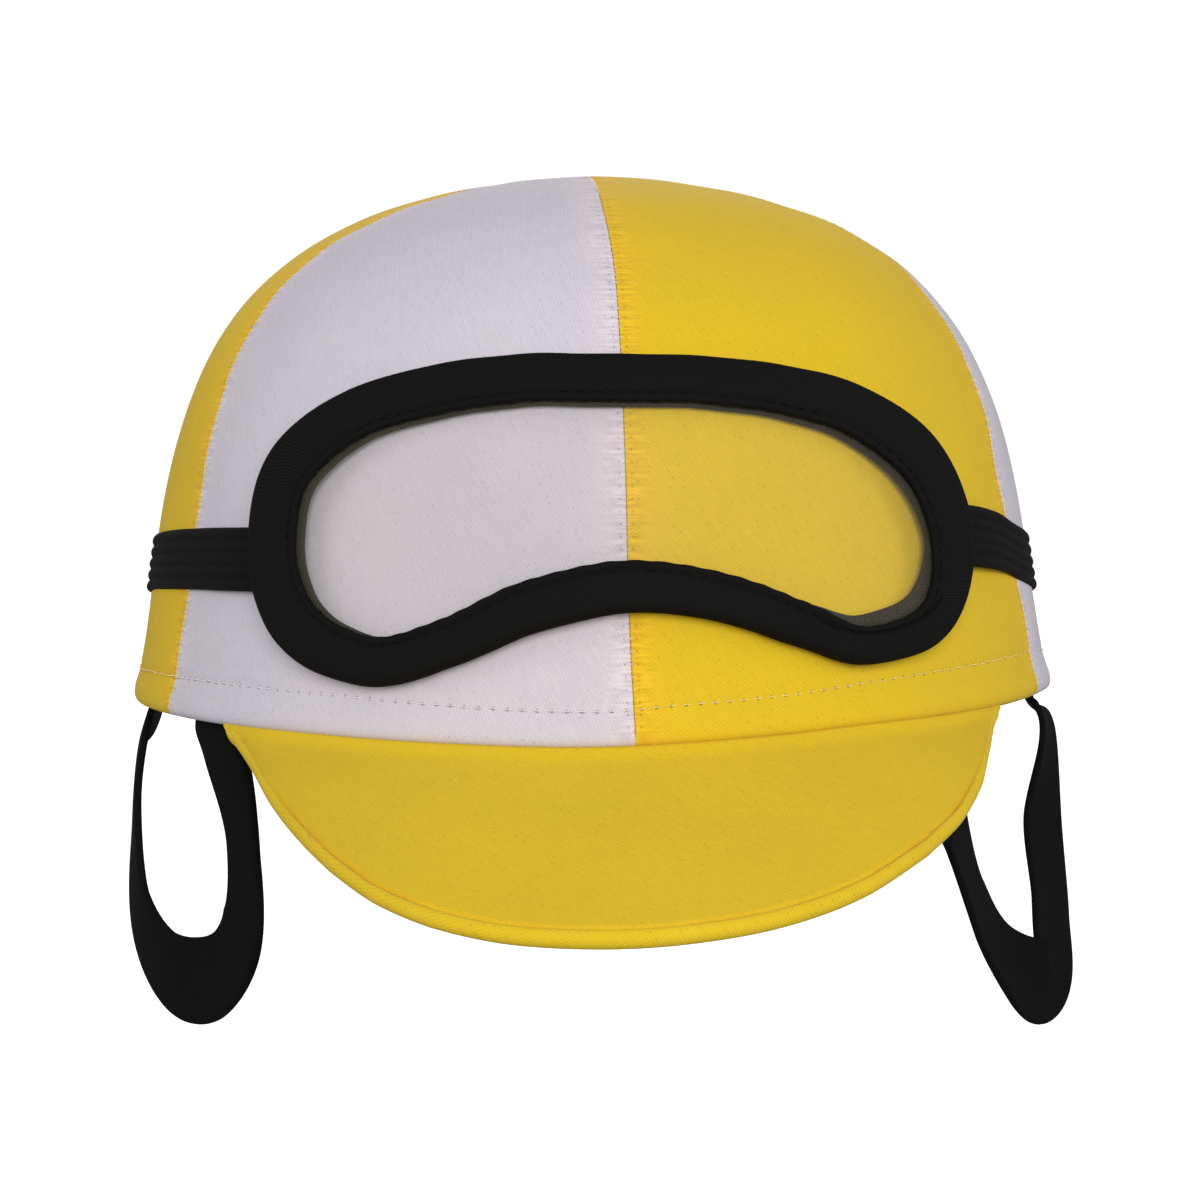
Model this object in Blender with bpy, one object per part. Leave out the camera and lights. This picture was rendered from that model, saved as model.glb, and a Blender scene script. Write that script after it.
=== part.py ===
"""A jockey cap: six cloth gores, a covered peak, mock goggles on an elastic strap, and two chin loops.

Metres, +Z up. The origin is the middle of the head opening, in the plane of the hem. The front faces -Y.
Left and right are the viewer's, with the cap facing the viewer. An azimuth is 0 at the front seam and
grows towards the right side, so 90 is the right side, 180 the back and -90 the left side.
"""

from collections import namedtuple
from math import atan2, cos, degrees, exp, hypot, pi, radians, sin, sqrt

import bmesh
import bpy
from mathutils import Vector

MM = 0.001
GAP = 0.35 * MM
SAMPLES = 400
BISECTIONS = 50
SHARP_ANGLE = 40.0


def make_table(columns, rows):
    """The rows as records whose values are reached by the names of the columns."""
    record = namedtuple("Row", columns)
    return [record(*row) for row in rows]


# Crown, measured on the outside of the cloth
HALF_WIDTH = 85.0 * MM
HALF_DEPTH = 105.0 * MM
CROWN_HEIGHT = 95.3 * MM
SIDE_TAPER = 0.154
TOP_ROUNDNESS = 4.85
HEM_FLARE = 0.9 * MM
HEM_FLARE_REACH = 6.0 * MM
HEM_LIFT_REACH = 14.0 * MM
HEM_LIFT = make_table(
    "azimuth_deg lift_mm",
    (
        (-180.0, 0.2),
        (-130.0, -0.2),
        (-90.0, 0.0),
        (-65.0, 0.8),
        (-40.0, 0.8),
        (-20.0, 0.3),
        (-5.0, -0.1),
        (5.0, 0.3),
        (18.0, 1.0),
        (26.0, 1.5),
        (45.0, 1.6),
        (65.0, 1.6),
        (78.0, 0.6),
        (90.0, 0.2),
        (130.0, -0.2),
        (180.0, 0.2),
    ),
)
CLOTH = 2.0 * MM
HEM_THICKNESS = 3.0 * MM
HEM_HEIGHT = 8.0 * MM
HEM_STEP = 1.5 * MM
HEM_CORNER = pi / 4.0
APEX_RADIUS = 0.8 * MM
SLOPE_STEP = 0.05 * MM
GORE_COLUMNS = 8
GORE_ROWS = 16
FRONT_SEAM = 0.0
SIDE_SEAM = 61.0
BACK_SIDE_SEAM = 120.0
BACK_SEAM = 180.0
SEAM_SWAY = make_table(
    "height_mm left_deg front_deg right_deg",
    (
        (0.0, 0.0, 0.3, -0.5),
        (20.0, 0.5, 0.0, -1.0),
        (40.0, 0.5, 0.0, -1.5),
        (55.0, 0.0, 0.0, 0.5),
        (66.0, 0.0, 0.0, 2.0),
        (74.0, 0.5, 0.0, 5.0),
        (80.0, 1.5, -0.3, 8.0),
        (86.0, 5.0, -0.7, 6.0),
        (91.0, 11.0, -0.9, 0.0),
        (96.0, 13.0, -1.0, -4.0),
    ),
)

# Peak
PEAK_SLOPE = 22.0
PEAK_THICKNESS = 2.8 * MM
PEAK_DROOP = 0.8 * MM
PEAK_DROOP_REACH = 50.0 * MM
PEAK_COLUMNS = 26
PEAK_ROWS = 4
PEAK_EDGE_ROUND = 0.7
PEAK_FLANGE_HEIGHT = 6.5 * MM
PEAK_FLANGE_THICKNESS = 1.4 * MM
PEAK_FLANGE_FOOT = 1.7 * MM
PEAK_OUTLINE = make_table(
    "azimuth_deg reach_mm",
    (
        (-49.0, 2.0),
        (-45.0, 9.5),
        (-41.0, 20.5),
        (-37.0, 29.0),
        (-33.0, 36.0),
        (-28.0, 42.5),
        (-22.0, 47.0),
        (-15.0, 49.5),
        (-6.0, 50.0),
        (4.0, 49.5),
        (13.0, 47.5),
        (22.0, 43.0),
        (30.0, 36.0),
        (36.0, 29.0),
        (41.0, 20.5),
        (45.0, 10.5),
        (49.0, 2.0),
    ),
)

# Goggles: the middle line of the binding, clockwise from the top as the viewer sees it
BINDING_THICKNESS = 2.8 * MM
BINDING_ROUND = 0.9 * MM
BINDING_LIP_DROP = 0.1 * MM
BINDING_SLOT = 0.95 * MM
BINDING_SLOT_DEPTH = 3.6 * MM
BINDING_STATIONS = 72
LENS_THICKNESS = 0.5 * MM
LENS_TUCK = 1.9 * MM
LENS_COLUMNS = 28
LENS_ROWS = 6
GOGGLE_CLEARANCE = 0.7 * MM
GOGGLE_LIFT = 2.4 * MM
GOGGLE_LIFT_START = 26.0
GOGGLE_LIFT_SPAN = 18.0
GOGGLE_LIFT_CURVE = 1.6
BINDING_OUTLINE = make_table(
    "azimuth_deg height_mm width_mm",
    (
        (-1.5, 54.5, 7.5),
        (9.0, 54.0, 7.5),
        (19.0, 52.5, 8.0),
        (28.5, 49.0, 9.0),
        (36.5, 41.0, 10.5),
        (39.0, 28.5, 10.5),
        (35.0, 17.0, 9.5),
        (26.0, 13.5, 8.5),
        (17.5, 17.0, 7.5),
        (8.5, 21.5, 7.5),
        (-1.0, 23.0, 8.0),
        (-10.5, 20.0, 8.0),
        (-19.0, 14.5, 7.5),
        (-27.5, 11.5, 8.0),
        (-36.0, 16.5, 9.5),
        (-40.0, 28.0, 10.0),
        (-39.0, 41.0, 10.0),
        (-31.5, 49.5, 8.5),
        (-22.0, 53.0, 8.0),
        (-12.0, 54.5, 7.5),
    ),
)

# Elastic strap, from the right end of the goggles round the back to their left end
STRAP_WIDTH = 10.4 * MM
STRAP_THICKNESS = 1.0 * MM
STRAP_CLEARANCE = 0.35 * MM
STRAP_STATIONS = 56
STRAP_TAKE_OFF = 46.0
STRAP_LANDING = 62.0
STRAP_LINE = make_table(
    "azimuth_deg height_mm",
    (
        (41.5, 30.0),
        (54.0, 28.0),
        (66.0, 25.0),
        (90.0, 21.0),
        (135.0, 18.0),
        (180.0, 18.0),
        (225.0, 20.5),
        (270.0, 24.0),
        (288.0, 26.0),
        (304.0, 27.0),
        (318.5, 27.0),
    ),
)

# Chin loops: the middle line of each tape, and the way its flat side runs, turned from the depth axis
LOOP_WIDTH = 15.0 * MM
LOOP_THICKNESS = 1.2 * MM
LOOP_STATIONS = 45
LOOP_LEFT_ENDS = (-54.5, -84.0)
LOOP_RIGHT_ENDS = (42.0, 77.0)
LOOP_SEWN_TOP = 6.0 * MM
LOOP_SEWN_FOOT = -1.0 * MM
LOOP_SEAT = 0.55 * MM
LOOP_COLUMN_NAMES = "across_mm depth_mm height_mm turn_deg"
LOOP_LEFT = make_table(
    LOOP_COLUMN_NAMES,
    (
        (-64.5, -58.0, -8.0, -32.0),
        (-62.5, -56.0, -22.0, -23.0),
        (-63.0, -56.0, -36.0, -27.0),
        (-68.5, -46.0, -45.5, -16.0),
        (-77.0, -35.5, -46.5, -19.0),
        (-83.5, -24.0, -38.0, -18.0),
        (-84.5, -19.0, -20.5, -9.0),
        (-83.5, -13.0, -7.0, -12.0),
    ),
)
LOOP_RIGHT = make_table(
    LOOP_COLUMN_NAMES,
    (
        (54.5, -70.5, -9.0, 36.0),
        (57.5, -61.0, -18.0, 23.0),
        (63.5, -54.5, -35.5, 14.0),
        (71.5, -45.5, -47.5, 11.0),
        (80.0, -37.0, -51.0, 41.0),
        (82.0, -29.0, -40.0, 40.0),
        (82.0, -23.0, -24.0, 38.0),
        (82.5, -24.0, -7.0, 19.0),
    ),
)

WHITE_CLOTH = ("cloth_white", (0.68, 0.64, 0.71, 1.0), 0.85)
YELLOW_CLOTH = ("cloth_yellow", (0.82, 0.58, 0.03, 1.0), 0.85)
BLACK_TAPE = ("tape_black", (0.012, 0.012, 0.012, 1.0), 0.8)
BLACK_ELASTIC = ("elastic_black", (0.016, 0.016, 0.016, 1.0), 0.75)
CLEAR_FILM = ("film_clear", (0.9, 0.9, 0.9, 1.0), 0.15)


def clear_scene():
    for found in list(bpy.data.objects):
        bpy.data.objects.remove(found, do_unlink=True)


def smooth_step(share):
    held = min(max(share, 0.0), 1.0)
    return held * held * (3.0 - 2.0 * held)


def cubic(before, start, end, after, share):
    """The Catmull-Rom value between start and end."""
    linear = end - before
    square = 2.0 * before - 5.0 * start + 4.0 * end - after
    cube = 3.0 * (start - end) + after - before
    return start + 0.5 * share * (linear + share * (square + share * cube))


def read_row(rows, position, closed):
    """The row at a position counted in rows, smoothed between the rows of the table."""
    count = len(rows)
    low = int(position) if closed else min(int(position), count - 2)
    share = position - low
    picks = [low - 1, low, low + 1, low + 2]
    picks = [pick % count if closed else min(max(pick, 0), count - 1) for pick in picks]
    values = [cubic(*neighbours, share) for neighbours in zip(*(rows[pick] for pick in picks))]
    return rows[0]._make(values)


def smooth_rows(rows, stations, closed):
    """The table's rows as evenly counted stations on a smooth curve."""
    spans = len(rows) if closed else len(rows) - 1
    steps = stations if closed else stations - 1
    return [read_row(rows, spans * step / steps, closed) for step in range(stations)]


def read_at(rows, value):
    """The row where the first column, which grows down the table, has a value."""
    spans = list(zip(rows, rows[1:]))
    passed = sum(1 for _, after in spans[:-1] if after[0] < value)
    before, after = spans[passed]
    share = (value - before[0]) / (after[0] - before[0])
    return read_row(rows, passed + min(max(share, 0.0), 1.0), False)


def peak_reach(azimuth):
    """How far the peak reaches forward from the hem at an azimuth."""
    return read_at(PEAK_OUTLINE, azimuth).reach_mm * MM


def seam_azimuth(seam, height):
    """Where a seam runs at a height: the front and side seams sway a little as they climb."""
    sway = read_at(SEAM_SWAY, height / MM)
    swayed = {-SIDE_SEAM: sway.left_deg, FRONT_SEAM: sway.front_deg, SIDE_SEAM: sway.right_deg}
    return seam + swayed.get(seam, 0.0)


def width_share(height):
    """The crown's width at a height, as a share of its width at the hem."""
    share = min(max(height / CROWN_HEIGHT, 0.0), 1.0)
    dome = (1.0 - SIDE_TAPER * share) * sqrt(max(1.0 - share**TOP_ROUNDNESS, 0.0))
    return dome + HEM_FLARE / HALF_WIDTH * exp(-max(height, 0.0) / HEM_FLARE_REACH)


def hem_lift(azimuth, height):
    """How far the cloth rises above its plain place, because the hem is not quite level."""
    turned = (azimuth + 180.0) % 360.0 - 180.0
    return read_at(HEM_LIFT, turned).lift_mm * MM * exp(-max(height, 0.0) / HEM_LIFT_REACH)


def crown_frame(azimuth, height):
    """A point on the outside of the crown with its outward direction and its sideways direction."""
    turn = radians(azimuth)
    share = width_share(height)
    low = max(height - SLOPE_STEP, 0.0)
    high = min(height + SLOPE_STEP, CROWN_HEIGHT)
    slope = (width_share(high) - width_share(low)) / (high - low)
    point = Vector((HALF_WIDTH * share * sin(turn), -HALF_DEPTH * share * cos(turn), height))
    point.z += hem_lift(azimuth, height)
    outward = Vector((HALF_DEPTH * sin(turn), -HALF_WIDTH * cos(turn), -HALF_WIDTH * HALF_DEPTH * slope))
    sideways = Vector((HALF_WIDTH * cos(turn), HALF_DEPTH * sin(turn), 0.0))
    return point, outward.normalized(), sideways.normalized()


def crown_point(azimuth, height, outset):
    point, outward, _ = crown_frame(azimuth, height)
    return point + outward * outset


def side_speed(azimuth, height):
    """Distance along the crown for each degree of azimuth."""
    turn = radians(azimuth)
    return width_share(height) * hypot(HALF_WIDTH * cos(turn), HALF_DEPTH * sin(turn)) * pi / 180.0


def make_material(finish):
    name, colour, roughness = finish
    if name in bpy.data.materials:
        return bpy.data.materials[name]
    material = bpy.data.materials.new(name)
    material.use_nodes = True
    shader = material.node_tree.nodes["Principled BSDF"]
    shader.inputs["Base Color"].default_value = colour
    shader.inputs["Roughness"].default_value = roughness
    shader.inputs["Metallic"].default_value = 0.0
    material.diffuse_color = colour
    return material


def close_end(work, ring):
    """Close one end with a strip of faces that joins the section's first half to its second half."""
    last = len(ring) - 1
    for index in range(last // 2):
        corners = (ring[index], ring[index + 1], ring[last - index - 1], ring[last - index])
        work.faces.new(dict.fromkeys(corners))


def make_object(name, rings, finish, closed_run):
    """A closed solid from rings of points: each ring goes once round the section.

    Where closed_run is false, the first and the last ring are closed.
    """
    mesh = bpy.data.meshes.new(name)
    work = bmesh.new()
    grid = [[work.verts.new(point) for point in ring] for ring in rings]
    runs = len(grid) if closed_run else len(grid) - 1
    sides = len(grid[0])
    for run in range(runs):
        here = grid[run]
        there = grid[(run + 1) % len(grid)]
        for side in range(sides):
            following = (side + 1) % sides
            work.faces.new((here[side], there[side], there[following], here[following]))
    if not closed_run:
        close_end(work, grid[0])
        close_end(work, grid[-1])
    bmesh.ops.recalc_face_normals(work, faces=work.faces)
    work.to_mesh(mesh)
    work.free()
    mesh.shade_smooth()
    mesh.set_sharp_from_angle(angle=radians(SHARP_ANGLE))
    mesh.materials.append(make_material(finish))
    made = bpy.data.objects.new(name, mesh)
    bpy.context.scene.collection.objects.link(made)
    return made


def apex_height():
    """The height at which the crown's small opening at the top has its radius."""
    low, high = 0.5 * CROWN_HEIGHT, CROWN_HEIGHT
    for _ in range(BISECTIONS):
        middle = 0.5 * (low + high)
        if HALF_WIDTH * width_share(middle) > APEX_RADIUS:
            low = middle
        else:
            high = middle
    return low


def gore_heights():
    """Row heights from just above the hem's fold to the apex, evenly spaced along the cloth."""
    top = apex_height()
    first = HEM_HEIGHT + HEM_STEP
    heights = [first + (top - first) * sin(0.5 * pi * index / SAMPLES) for index in range(SAMPLES + 1)]
    lengths = [0.0]
    for low, high in zip(heights, heights[1:]):
        run = HALF_DEPTH * (width_share(low) - width_share(high))
        lengths.append(lengths[-1] + hypot(high - low, run))
    chosen = []
    for row in range(GORE_ROWS + 1):
        wanted = lengths[-1] * row / GORE_ROWS
        index = min(range(SAMPLES + 1), key=lambda sample: abs(lengths[sample] - wanted))
        chosen.append(heights[index])
    return chosen


def gore_section(heights):
    """(height, outset) once round the wall: up the outside, down the inside and round the folded hem."""
    middle = 0.5 * HEM_THICKNESS
    lean = middle * sin(HEM_CORNER)
    outside = [(middle - lean, lean - middle), (middle, 0.0), (HEM_HEIGHT, 0.0)]
    outside += [(height, 0.0) for height in heights]
    inside = [(height, -CLOTH) for height in reversed(heights)]
    inside += [(HEM_HEIGHT, -HEM_THICKNESS), (middle, -HEM_THICKNESS), (middle - lean, -middle - lean)]
    return outside + inside + [(0.0, -middle)]


def make_gore(name, start, end, finish):
    section = gore_section(gore_heights())
    rings = []
    for column in range(GORE_COLUMNS + 1):
        share = column / GORE_COLUMNS
        ring = []
        for height, outset in section:
            first = seam_azimuth(start, height)
            last = seam_azimuth(end, height)
            margin = 0.5 * GAP / side_speed(first + (last - first) * share, height)
            azimuth = first + margin + share * (last - first - 2.0 * margin)
            ring.append(crown_point(azimuth, height, outset))
        rings.append(ring)
    return make_object(name, rings, finish, False)


def make_peak():
    slope = radians(PEAK_SLOPE)
    forward = Vector((0.0, -cos(slope), -sin(slope)))
    first, last = PEAK_OUTLINE[0].azimuth_deg, PEAK_OUTLINE[-1].azimuth_deg
    edge = 0.5 * PEAK_THICKNESS
    flange_out = HEM_THICKNESS + GAP
    flange_in = flange_out + PEAK_FLANGE_THICKNESS
    rings = []
    for column in range(PEAK_COLUMNS + 1):
        azimuth = first + (last - first) * column / PEAK_COLUMNS
        reach = peak_reach(azimuth)
        _, _, sideways = crown_frame(azimuth, 0.0)
        upward = forward.cross(sideways).normalized()
        if upward.z < 0.0:
            upward.negate()
        start = crown_point(azimuth, 0.0, -0.5 * HEM_THICKNESS) + Vector((0.0, 0.0, -GAP))
        top = []
        for row in range(PEAK_ROWS + 1):
            share = row / PEAK_ROWS
            droop = PEAK_DROOP * (share * reach / PEAK_DROOP_REACH) ** 2
            top.append(start + forward * (reach - edge * PEAK_EDGE_ROUND) * share - upward * droop)
        tip = top[-1] + forward * edge - upward * edge
        bottom = [point - upward * PEAK_THICKNESS for point in reversed(top)]
        rim = top[-1] + forward * edge * PEAK_EDGE_ROUND - upward * edge
        shoulder = rim + upward * edge * PEAK_EDGE_ROUND
        chin = rim - upward * edge * PEAK_EDGE_ROUND
        flange_front = [
            crown_point(azimuth, PEAK_FLANGE_HEIGHT, -flange_out),
            crown_point(azimuth, 0.0, -flange_out) + Vector((0.0, 0.0, -GAP)),
        ]
        flange_back = [
            crown_point(azimuth, 0.0, -flange_in) + Vector((0.0, 0.0, -GAP - PEAK_FLANGE_FOOT)),
            crown_point(azimuth, PEAK_FLANGE_HEIGHT, -flange_in),
        ]
        rings.append(flange_front + top + [shoulder, tip, chin] + bottom + flange_back)
    return make_object("peak", rings, YELLOW_CLOTH, False)


def goggle_outset(azimuth):
    """How far the goggles' inner face stands off the crown: they lift towards both ends."""
    share = (abs(azimuth) - GOGGLE_LIFT_START) / GOGGLE_LIFT_SPAN
    return GOGGLE_CLEARANCE + GOGGLE_LIFT * min(max(share, 0.0), 1.0) ** GOGGLE_LIFT_CURVE


def binding_stations():
    """Stations of the goggle binding: azimuth, height, width and the direction away from the lens."""
    rows = smooth_rows(BINDING_OUTLINE, BINDING_STATIONS, True)
    stations = []
    for index, row in enumerate(rows):
        before = rows[index - 1]
        after = rows[(index + 1) % len(rows)]
        height = row.height_mm * MM
        side = (after.azimuth_deg - before.azimuth_deg) * side_speed(row.azimuth_deg, height)
        rise = (after.height_mm - before.height_mm) * MM
        length = hypot(side, rise)
        stations.append((row.azimuth_deg, height, row.width_mm * MM, -rise / length, side / length))
    return stations


def goggle_point(azimuth, height, away_side, away_up, away, lift):
    """A point beside a station of the goggles, a distance away from the lens and a lift off the inner face."""
    turned = azimuth + away * away_side / side_speed(azimuth, height)
    raised = height + away * away_up
    return crown_point(turned, raised, goggle_outset(turned) + lift)


def make_binding():
    rings = []
    low = BINDING_SLOT
    high = BINDING_THICKNESS - BINDING_SLOT
    for azimuth, height, width, away_side, away_up in binding_stations():
        half = 0.5 * width
        section = (
            (-half, 0.0),
            (half - BINDING_ROUND, 0.0),
            (half, BINDING_ROUND),
            (half, BINDING_THICKNESS - BINDING_ROUND),
            (half - BINDING_ROUND, BINDING_THICKNESS),
            (-half, BINDING_THICKNESS - BINDING_LIP_DROP),
            (-half, high),
            (BINDING_SLOT_DEPTH - half, high),
            (BINDING_SLOT_DEPTH - half, low),
            (-half, low),
        )
        rings.append([goggle_point(azimuth, height, away_side, away_up, away, lift) for away, lift in section])
    return make_object("goggle_binding", rings, BLACK_TAPE, True)


def lens_edge():
    """(azimuth, height) round the lens: its edge is tucked into the binding's slot."""
    points = []
    for azimuth, height, width, away_side, away_up in binding_stations():
        away = LENS_TUCK - 0.5 * width
        turned = azimuth + away * away_side / side_speed(azimuth, height)
        points.append((turned, height + away * away_up))
    return points


def crossings(points, azimuth):
    """The lowest and the highest place where the closed outline passes an azimuth."""
    found = []
    for index, (here, low) in enumerate(points):
        there, high = points[(index + 1) % len(points)]
        if (here - azimuth) * (there - azimuth) <= 0.0 and here != there:
            found.append(low + (high - low) * (azimuth - here) / (there - here))
    return min(found), max(found)


def make_lens():
    edge = lens_edge()
    left = min(point[0] for point in edge)
    right = max(point[0] for point in edge)
    lift = 0.5 * (BINDING_THICKNESS - LENS_THICKNESS)
    rings = []
    for column in range(1, LENS_COLUMNS):
        share = 0.5 - 0.5 * cos(pi * column / LENS_COLUMNS)
        azimuth = left + (right - left) * share
        low, high = crossings(edge, azimuth)
        heights = [low + (high - low) * row / LENS_ROWS for row in range(LENS_ROWS + 1)]
        outset = goggle_outset(azimuth) + lift
        front = [crown_point(azimuth, height, outset + LENS_THICKNESS) for height in heights]
        back = [crown_point(azimuth, height, outset) for height in reversed(heights)]
        rings.append(front + back)
    return make_object("goggle_lens", rings, CLEAR_FILM, False)


def strap_outset(azimuth):
    """The strap lies on the crown and lifts to meet the back of the goggles at both ends."""
    share = (STRAP_LANDING - abs(azimuth)) / (STRAP_LANDING - STRAP_TAKE_OFF)
    under = goggle_outset(azimuth) - GAP - STRAP_THICKNESS
    highest = goggle_outset(STRAP_TAKE_OFF) - GAP - STRAP_THICKNESS
    lifted = STRAP_CLEARANCE + (highest - STRAP_CLEARANCE) * smooth_step(share)
    return min(under, lifted) if abs(azimuth) < STRAP_TAKE_OFF else lifted


def make_strap():
    rings = []
    half = 0.5 * STRAP_WIDTH
    for row in smooth_rows(STRAP_LINE, STRAP_STATIONS, False):
        turned = row.azimuth_deg if row.azimuth_deg <= 180.0 else row.azimuth_deg - 360.0
        low, high = row.height_mm * MM - half, row.height_mm * MM + half
        outset = strap_outset(turned)
        rings.append(
            [
                crown_point(turned, low, outset),
                crown_point(turned, high, outset),
                crown_point(turned, high, outset + STRAP_THICKNESS),
                crown_point(turned, low, outset + STRAP_THICKNESS),
            ]
        )
    return make_object("goggle_strap", rings, BLACK_ELASTIC, False)


def loop_end(record, azimuth, height):
    """A row of a chin loop where it is sewn flat inside the hem, or inside the peak's flange."""
    inset = HEM_THICKNESS + GAP + LOOP_SEAT + 0.5 * LOOP_THICKNESS
    if PEAK_OUTLINE[0].azimuth_deg < azimuth < PEAK_OUTLINE[-1].azimuth_deg:
        inset += PEAK_FLANGE_THICKNESS + GAP
    point = crown_point(azimuth, height, -inset) / MM
    _, _, sideways = crown_frame(azimuth, 0.0)
    if sideways.y < 0.0:
        sideways.negate()
    return record(point.x, point.y, point.z, degrees(atan2(sideways.x, sideways.y)))


def make_loop(name, table, ends):
    record = type(table[0])
    front = [loop_end(record, ends[0], height) for height in (LOOP_SEWN_TOP, LOOP_SEWN_FOOT)]
    back = [loop_end(record, ends[1], height) for height in (LOOP_SEWN_FOOT, LOOP_SEWN_TOP)]
    rows = smooth_rows(front + table + back, LOOP_STATIONS, False)
    middles = [Vector((row.across_mm, row.depth_mm, row.height_mm)) * MM for row in rows]
    rings = []
    for index, row in enumerate(rows):
        before = middles[max(index - 1, 0)]
        after = middles[min(index + 1, len(middles) - 1)]
        along = (after - before).normalized()
        turn = radians(row.turn_deg)
        face = Vector((cos(turn), -sin(turn), 0.0))
        across = face.cross(along).normalized() * (0.5 * LOOP_WIDTH)
        depth = along.cross(across).normalized() * (0.5 * LOOP_THICKNESS)
        middle = middles[index]
        rings.append(
            [middle - across - depth, middle + across - depth, middle + across + depth, middle - across + depth]
        )
    return make_object(name, rings, BLACK_TAPE, False)


def main():
    clear_scene()
    make_gore("gore_front_left", -SIDE_SEAM, FRONT_SEAM, WHITE_CLOTH)
    make_gore("gore_front_right", FRONT_SEAM, SIDE_SEAM, YELLOW_CLOTH)
    make_gore("gore_side_right", SIDE_SEAM, BACK_SIDE_SEAM, WHITE_CLOTH)
    make_gore("gore_back_right", BACK_SIDE_SEAM, BACK_SEAM, YELLOW_CLOTH)
    make_gore("gore_back_left", -BACK_SEAM, -BACK_SIDE_SEAM, WHITE_CLOTH)
    make_gore("gore_side_left", -BACK_SIDE_SEAM, -SIDE_SEAM, YELLOW_CLOTH)
    make_peak()
    make_binding()
    make_lens()
    make_strap()
    make_loop("chin_loop_left", LOOP_LEFT, LOOP_LEFT_ENDS)
    make_loop("chin_loop_right", LOOP_RIGHT, LOOP_RIGHT_ENDS)


main()
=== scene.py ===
"""The looks of a jockey cap: sewn cloth gores, a covered peak, mock goggles, their strap and two chin loops.

Metres, +Z up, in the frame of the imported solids: the origin is the middle of the head opening, in the plane
of the hem, and the front faces -Y. Left and right are the viewer's. An azimuth is in degrees, 0 at the front
seam and growing towards the right side. The crown's formulas and the tables are those of the solids.
"""

from collections import namedtuple
from math import cos, pi, radians, sin

import bpy
import numpy as np
from mathutils import Matrix, Vector


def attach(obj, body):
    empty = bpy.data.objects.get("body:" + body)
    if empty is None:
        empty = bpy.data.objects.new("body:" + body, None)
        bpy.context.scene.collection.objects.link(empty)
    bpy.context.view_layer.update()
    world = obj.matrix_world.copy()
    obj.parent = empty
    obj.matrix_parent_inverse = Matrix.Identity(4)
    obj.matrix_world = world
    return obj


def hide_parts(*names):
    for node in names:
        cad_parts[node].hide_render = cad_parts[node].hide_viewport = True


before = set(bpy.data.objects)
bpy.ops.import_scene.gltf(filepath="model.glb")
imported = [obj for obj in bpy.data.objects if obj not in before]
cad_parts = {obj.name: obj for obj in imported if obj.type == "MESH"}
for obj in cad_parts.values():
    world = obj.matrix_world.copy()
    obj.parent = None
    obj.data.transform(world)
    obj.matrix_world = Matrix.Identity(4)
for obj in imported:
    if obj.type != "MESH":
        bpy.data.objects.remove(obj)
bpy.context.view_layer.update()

MM = 0.001


def make_table(columns, rows):
    """The rows as records whose values are reached by the names of the columns."""
    record = namedtuple("Row", columns)
    return [record(*row) for row in rows]


# Crown
HALF_WIDTH = 85.0 * MM
HALF_DEPTH = 105.0 * MM
CROWN_HEIGHT = 95.3 * MM
SIDE_TAPER = 0.154
TOP_ROUNDNESS = 4.85
HEM_FLARE = 0.9 * MM
HEM_FLARE_REACH = 6.0 * MM
HEM_LIFT_REACH = 14.0 * MM
HEM_LIFT = make_table(
    "azimuth_deg lift_mm",
    (
        (-180.0, 0.2),
        (-130.0, -0.2),
        (-90.0, 0.0),
        (-65.0, 0.8),
        (-40.0, 0.8),
        (-20.0, 0.3),
        (-5.0, -0.1),
        (5.0, 0.3),
        (18.0, 1.0),
        (26.0, 1.5),
        (45.0, 1.6),
        (65.0, 1.6),
        (78.0, 0.6),
        (90.0, 0.2),
        (130.0, -0.2),
        (180.0, 0.2),
    ),
)
SLOPE_STEP = 0.05 * MM
CLOTH = 2.0 * MM
HEM_THICKNESS = 3.0 * MM
HEM_HEIGHT = 8.0 * MM
GAP = 0.35 * MM
FRONT_SEAM = 0.0
SIDE_SEAM = 61.0
BACK_SIDE_SEAM = 120.0
BACK_SEAM = 180.0
SEAM_SWAY = make_table(
    "height_mm left_deg front_deg right_deg",
    (
        (0.0, 0.0, 0.3, -0.5),
        (20.0, 0.5, 0.0, -1.0),
        (40.0, 0.5, 0.0, -1.5),
        (55.0, 0.0, 0.0, 0.5),
        (66.0, 0.0, 0.0, 2.0),
        (74.0, 0.5, 0.0, 5.0),
        (80.0, 1.5, -0.3, 8.0),
        (86.0, 5.0, -0.7, 6.0),
        (91.0, 11.0, -0.9, 0.0),
        (96.0, 13.0, -1.0, -4.0),
    ),
)

# Sewing of the crown
ROW_STEP = 0.6 * MM
APEX_RADIUS = 0.15 * MM
SEAM_SLIT = 0.03 * MM
SEAM_ROLL = 0.28 * MM
SEAM_STITCH = 1.95 * MM
SEAM_PUCKER = 0.05 * MM
SEAM_PUCKER_REACH = 2.5 * MM
RIPPLE = 0.12 * MM
RIPPLE_LENGTH = 17.0 * MM
RIPPLE_REACH = 10.0 * MM
UNEVENNESS = 0.2 * MM
UNEVENNESS_SIZE = 34.0 * MM
HEM_STITCH = 2.45 * MM
HEM_STITCH_SHOWN = 0.7
HEM_DIP = 0.22 * MM
HEM_DIP_REACH = 0.7 * MM
HEM_PILLOW = 0.2 * MM
HEM_PILLOW_HEIGHT = 2.8 * MM
HEM_PILLOW_REACH = 1.3 * MM
THREAD_RADIUS = 0.11 * MM
# Where the painted shade of the needle holes sits beside a seam
NEEDLE_FROM_SEAM = 0.95 * MM
ALLOWANCE_WIDTH = 5.0 * MM
ALLOWANCE_THICKNESS = 0.45 * MM
ALLOWANCE_WAVE = 0.25 * MM

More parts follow.
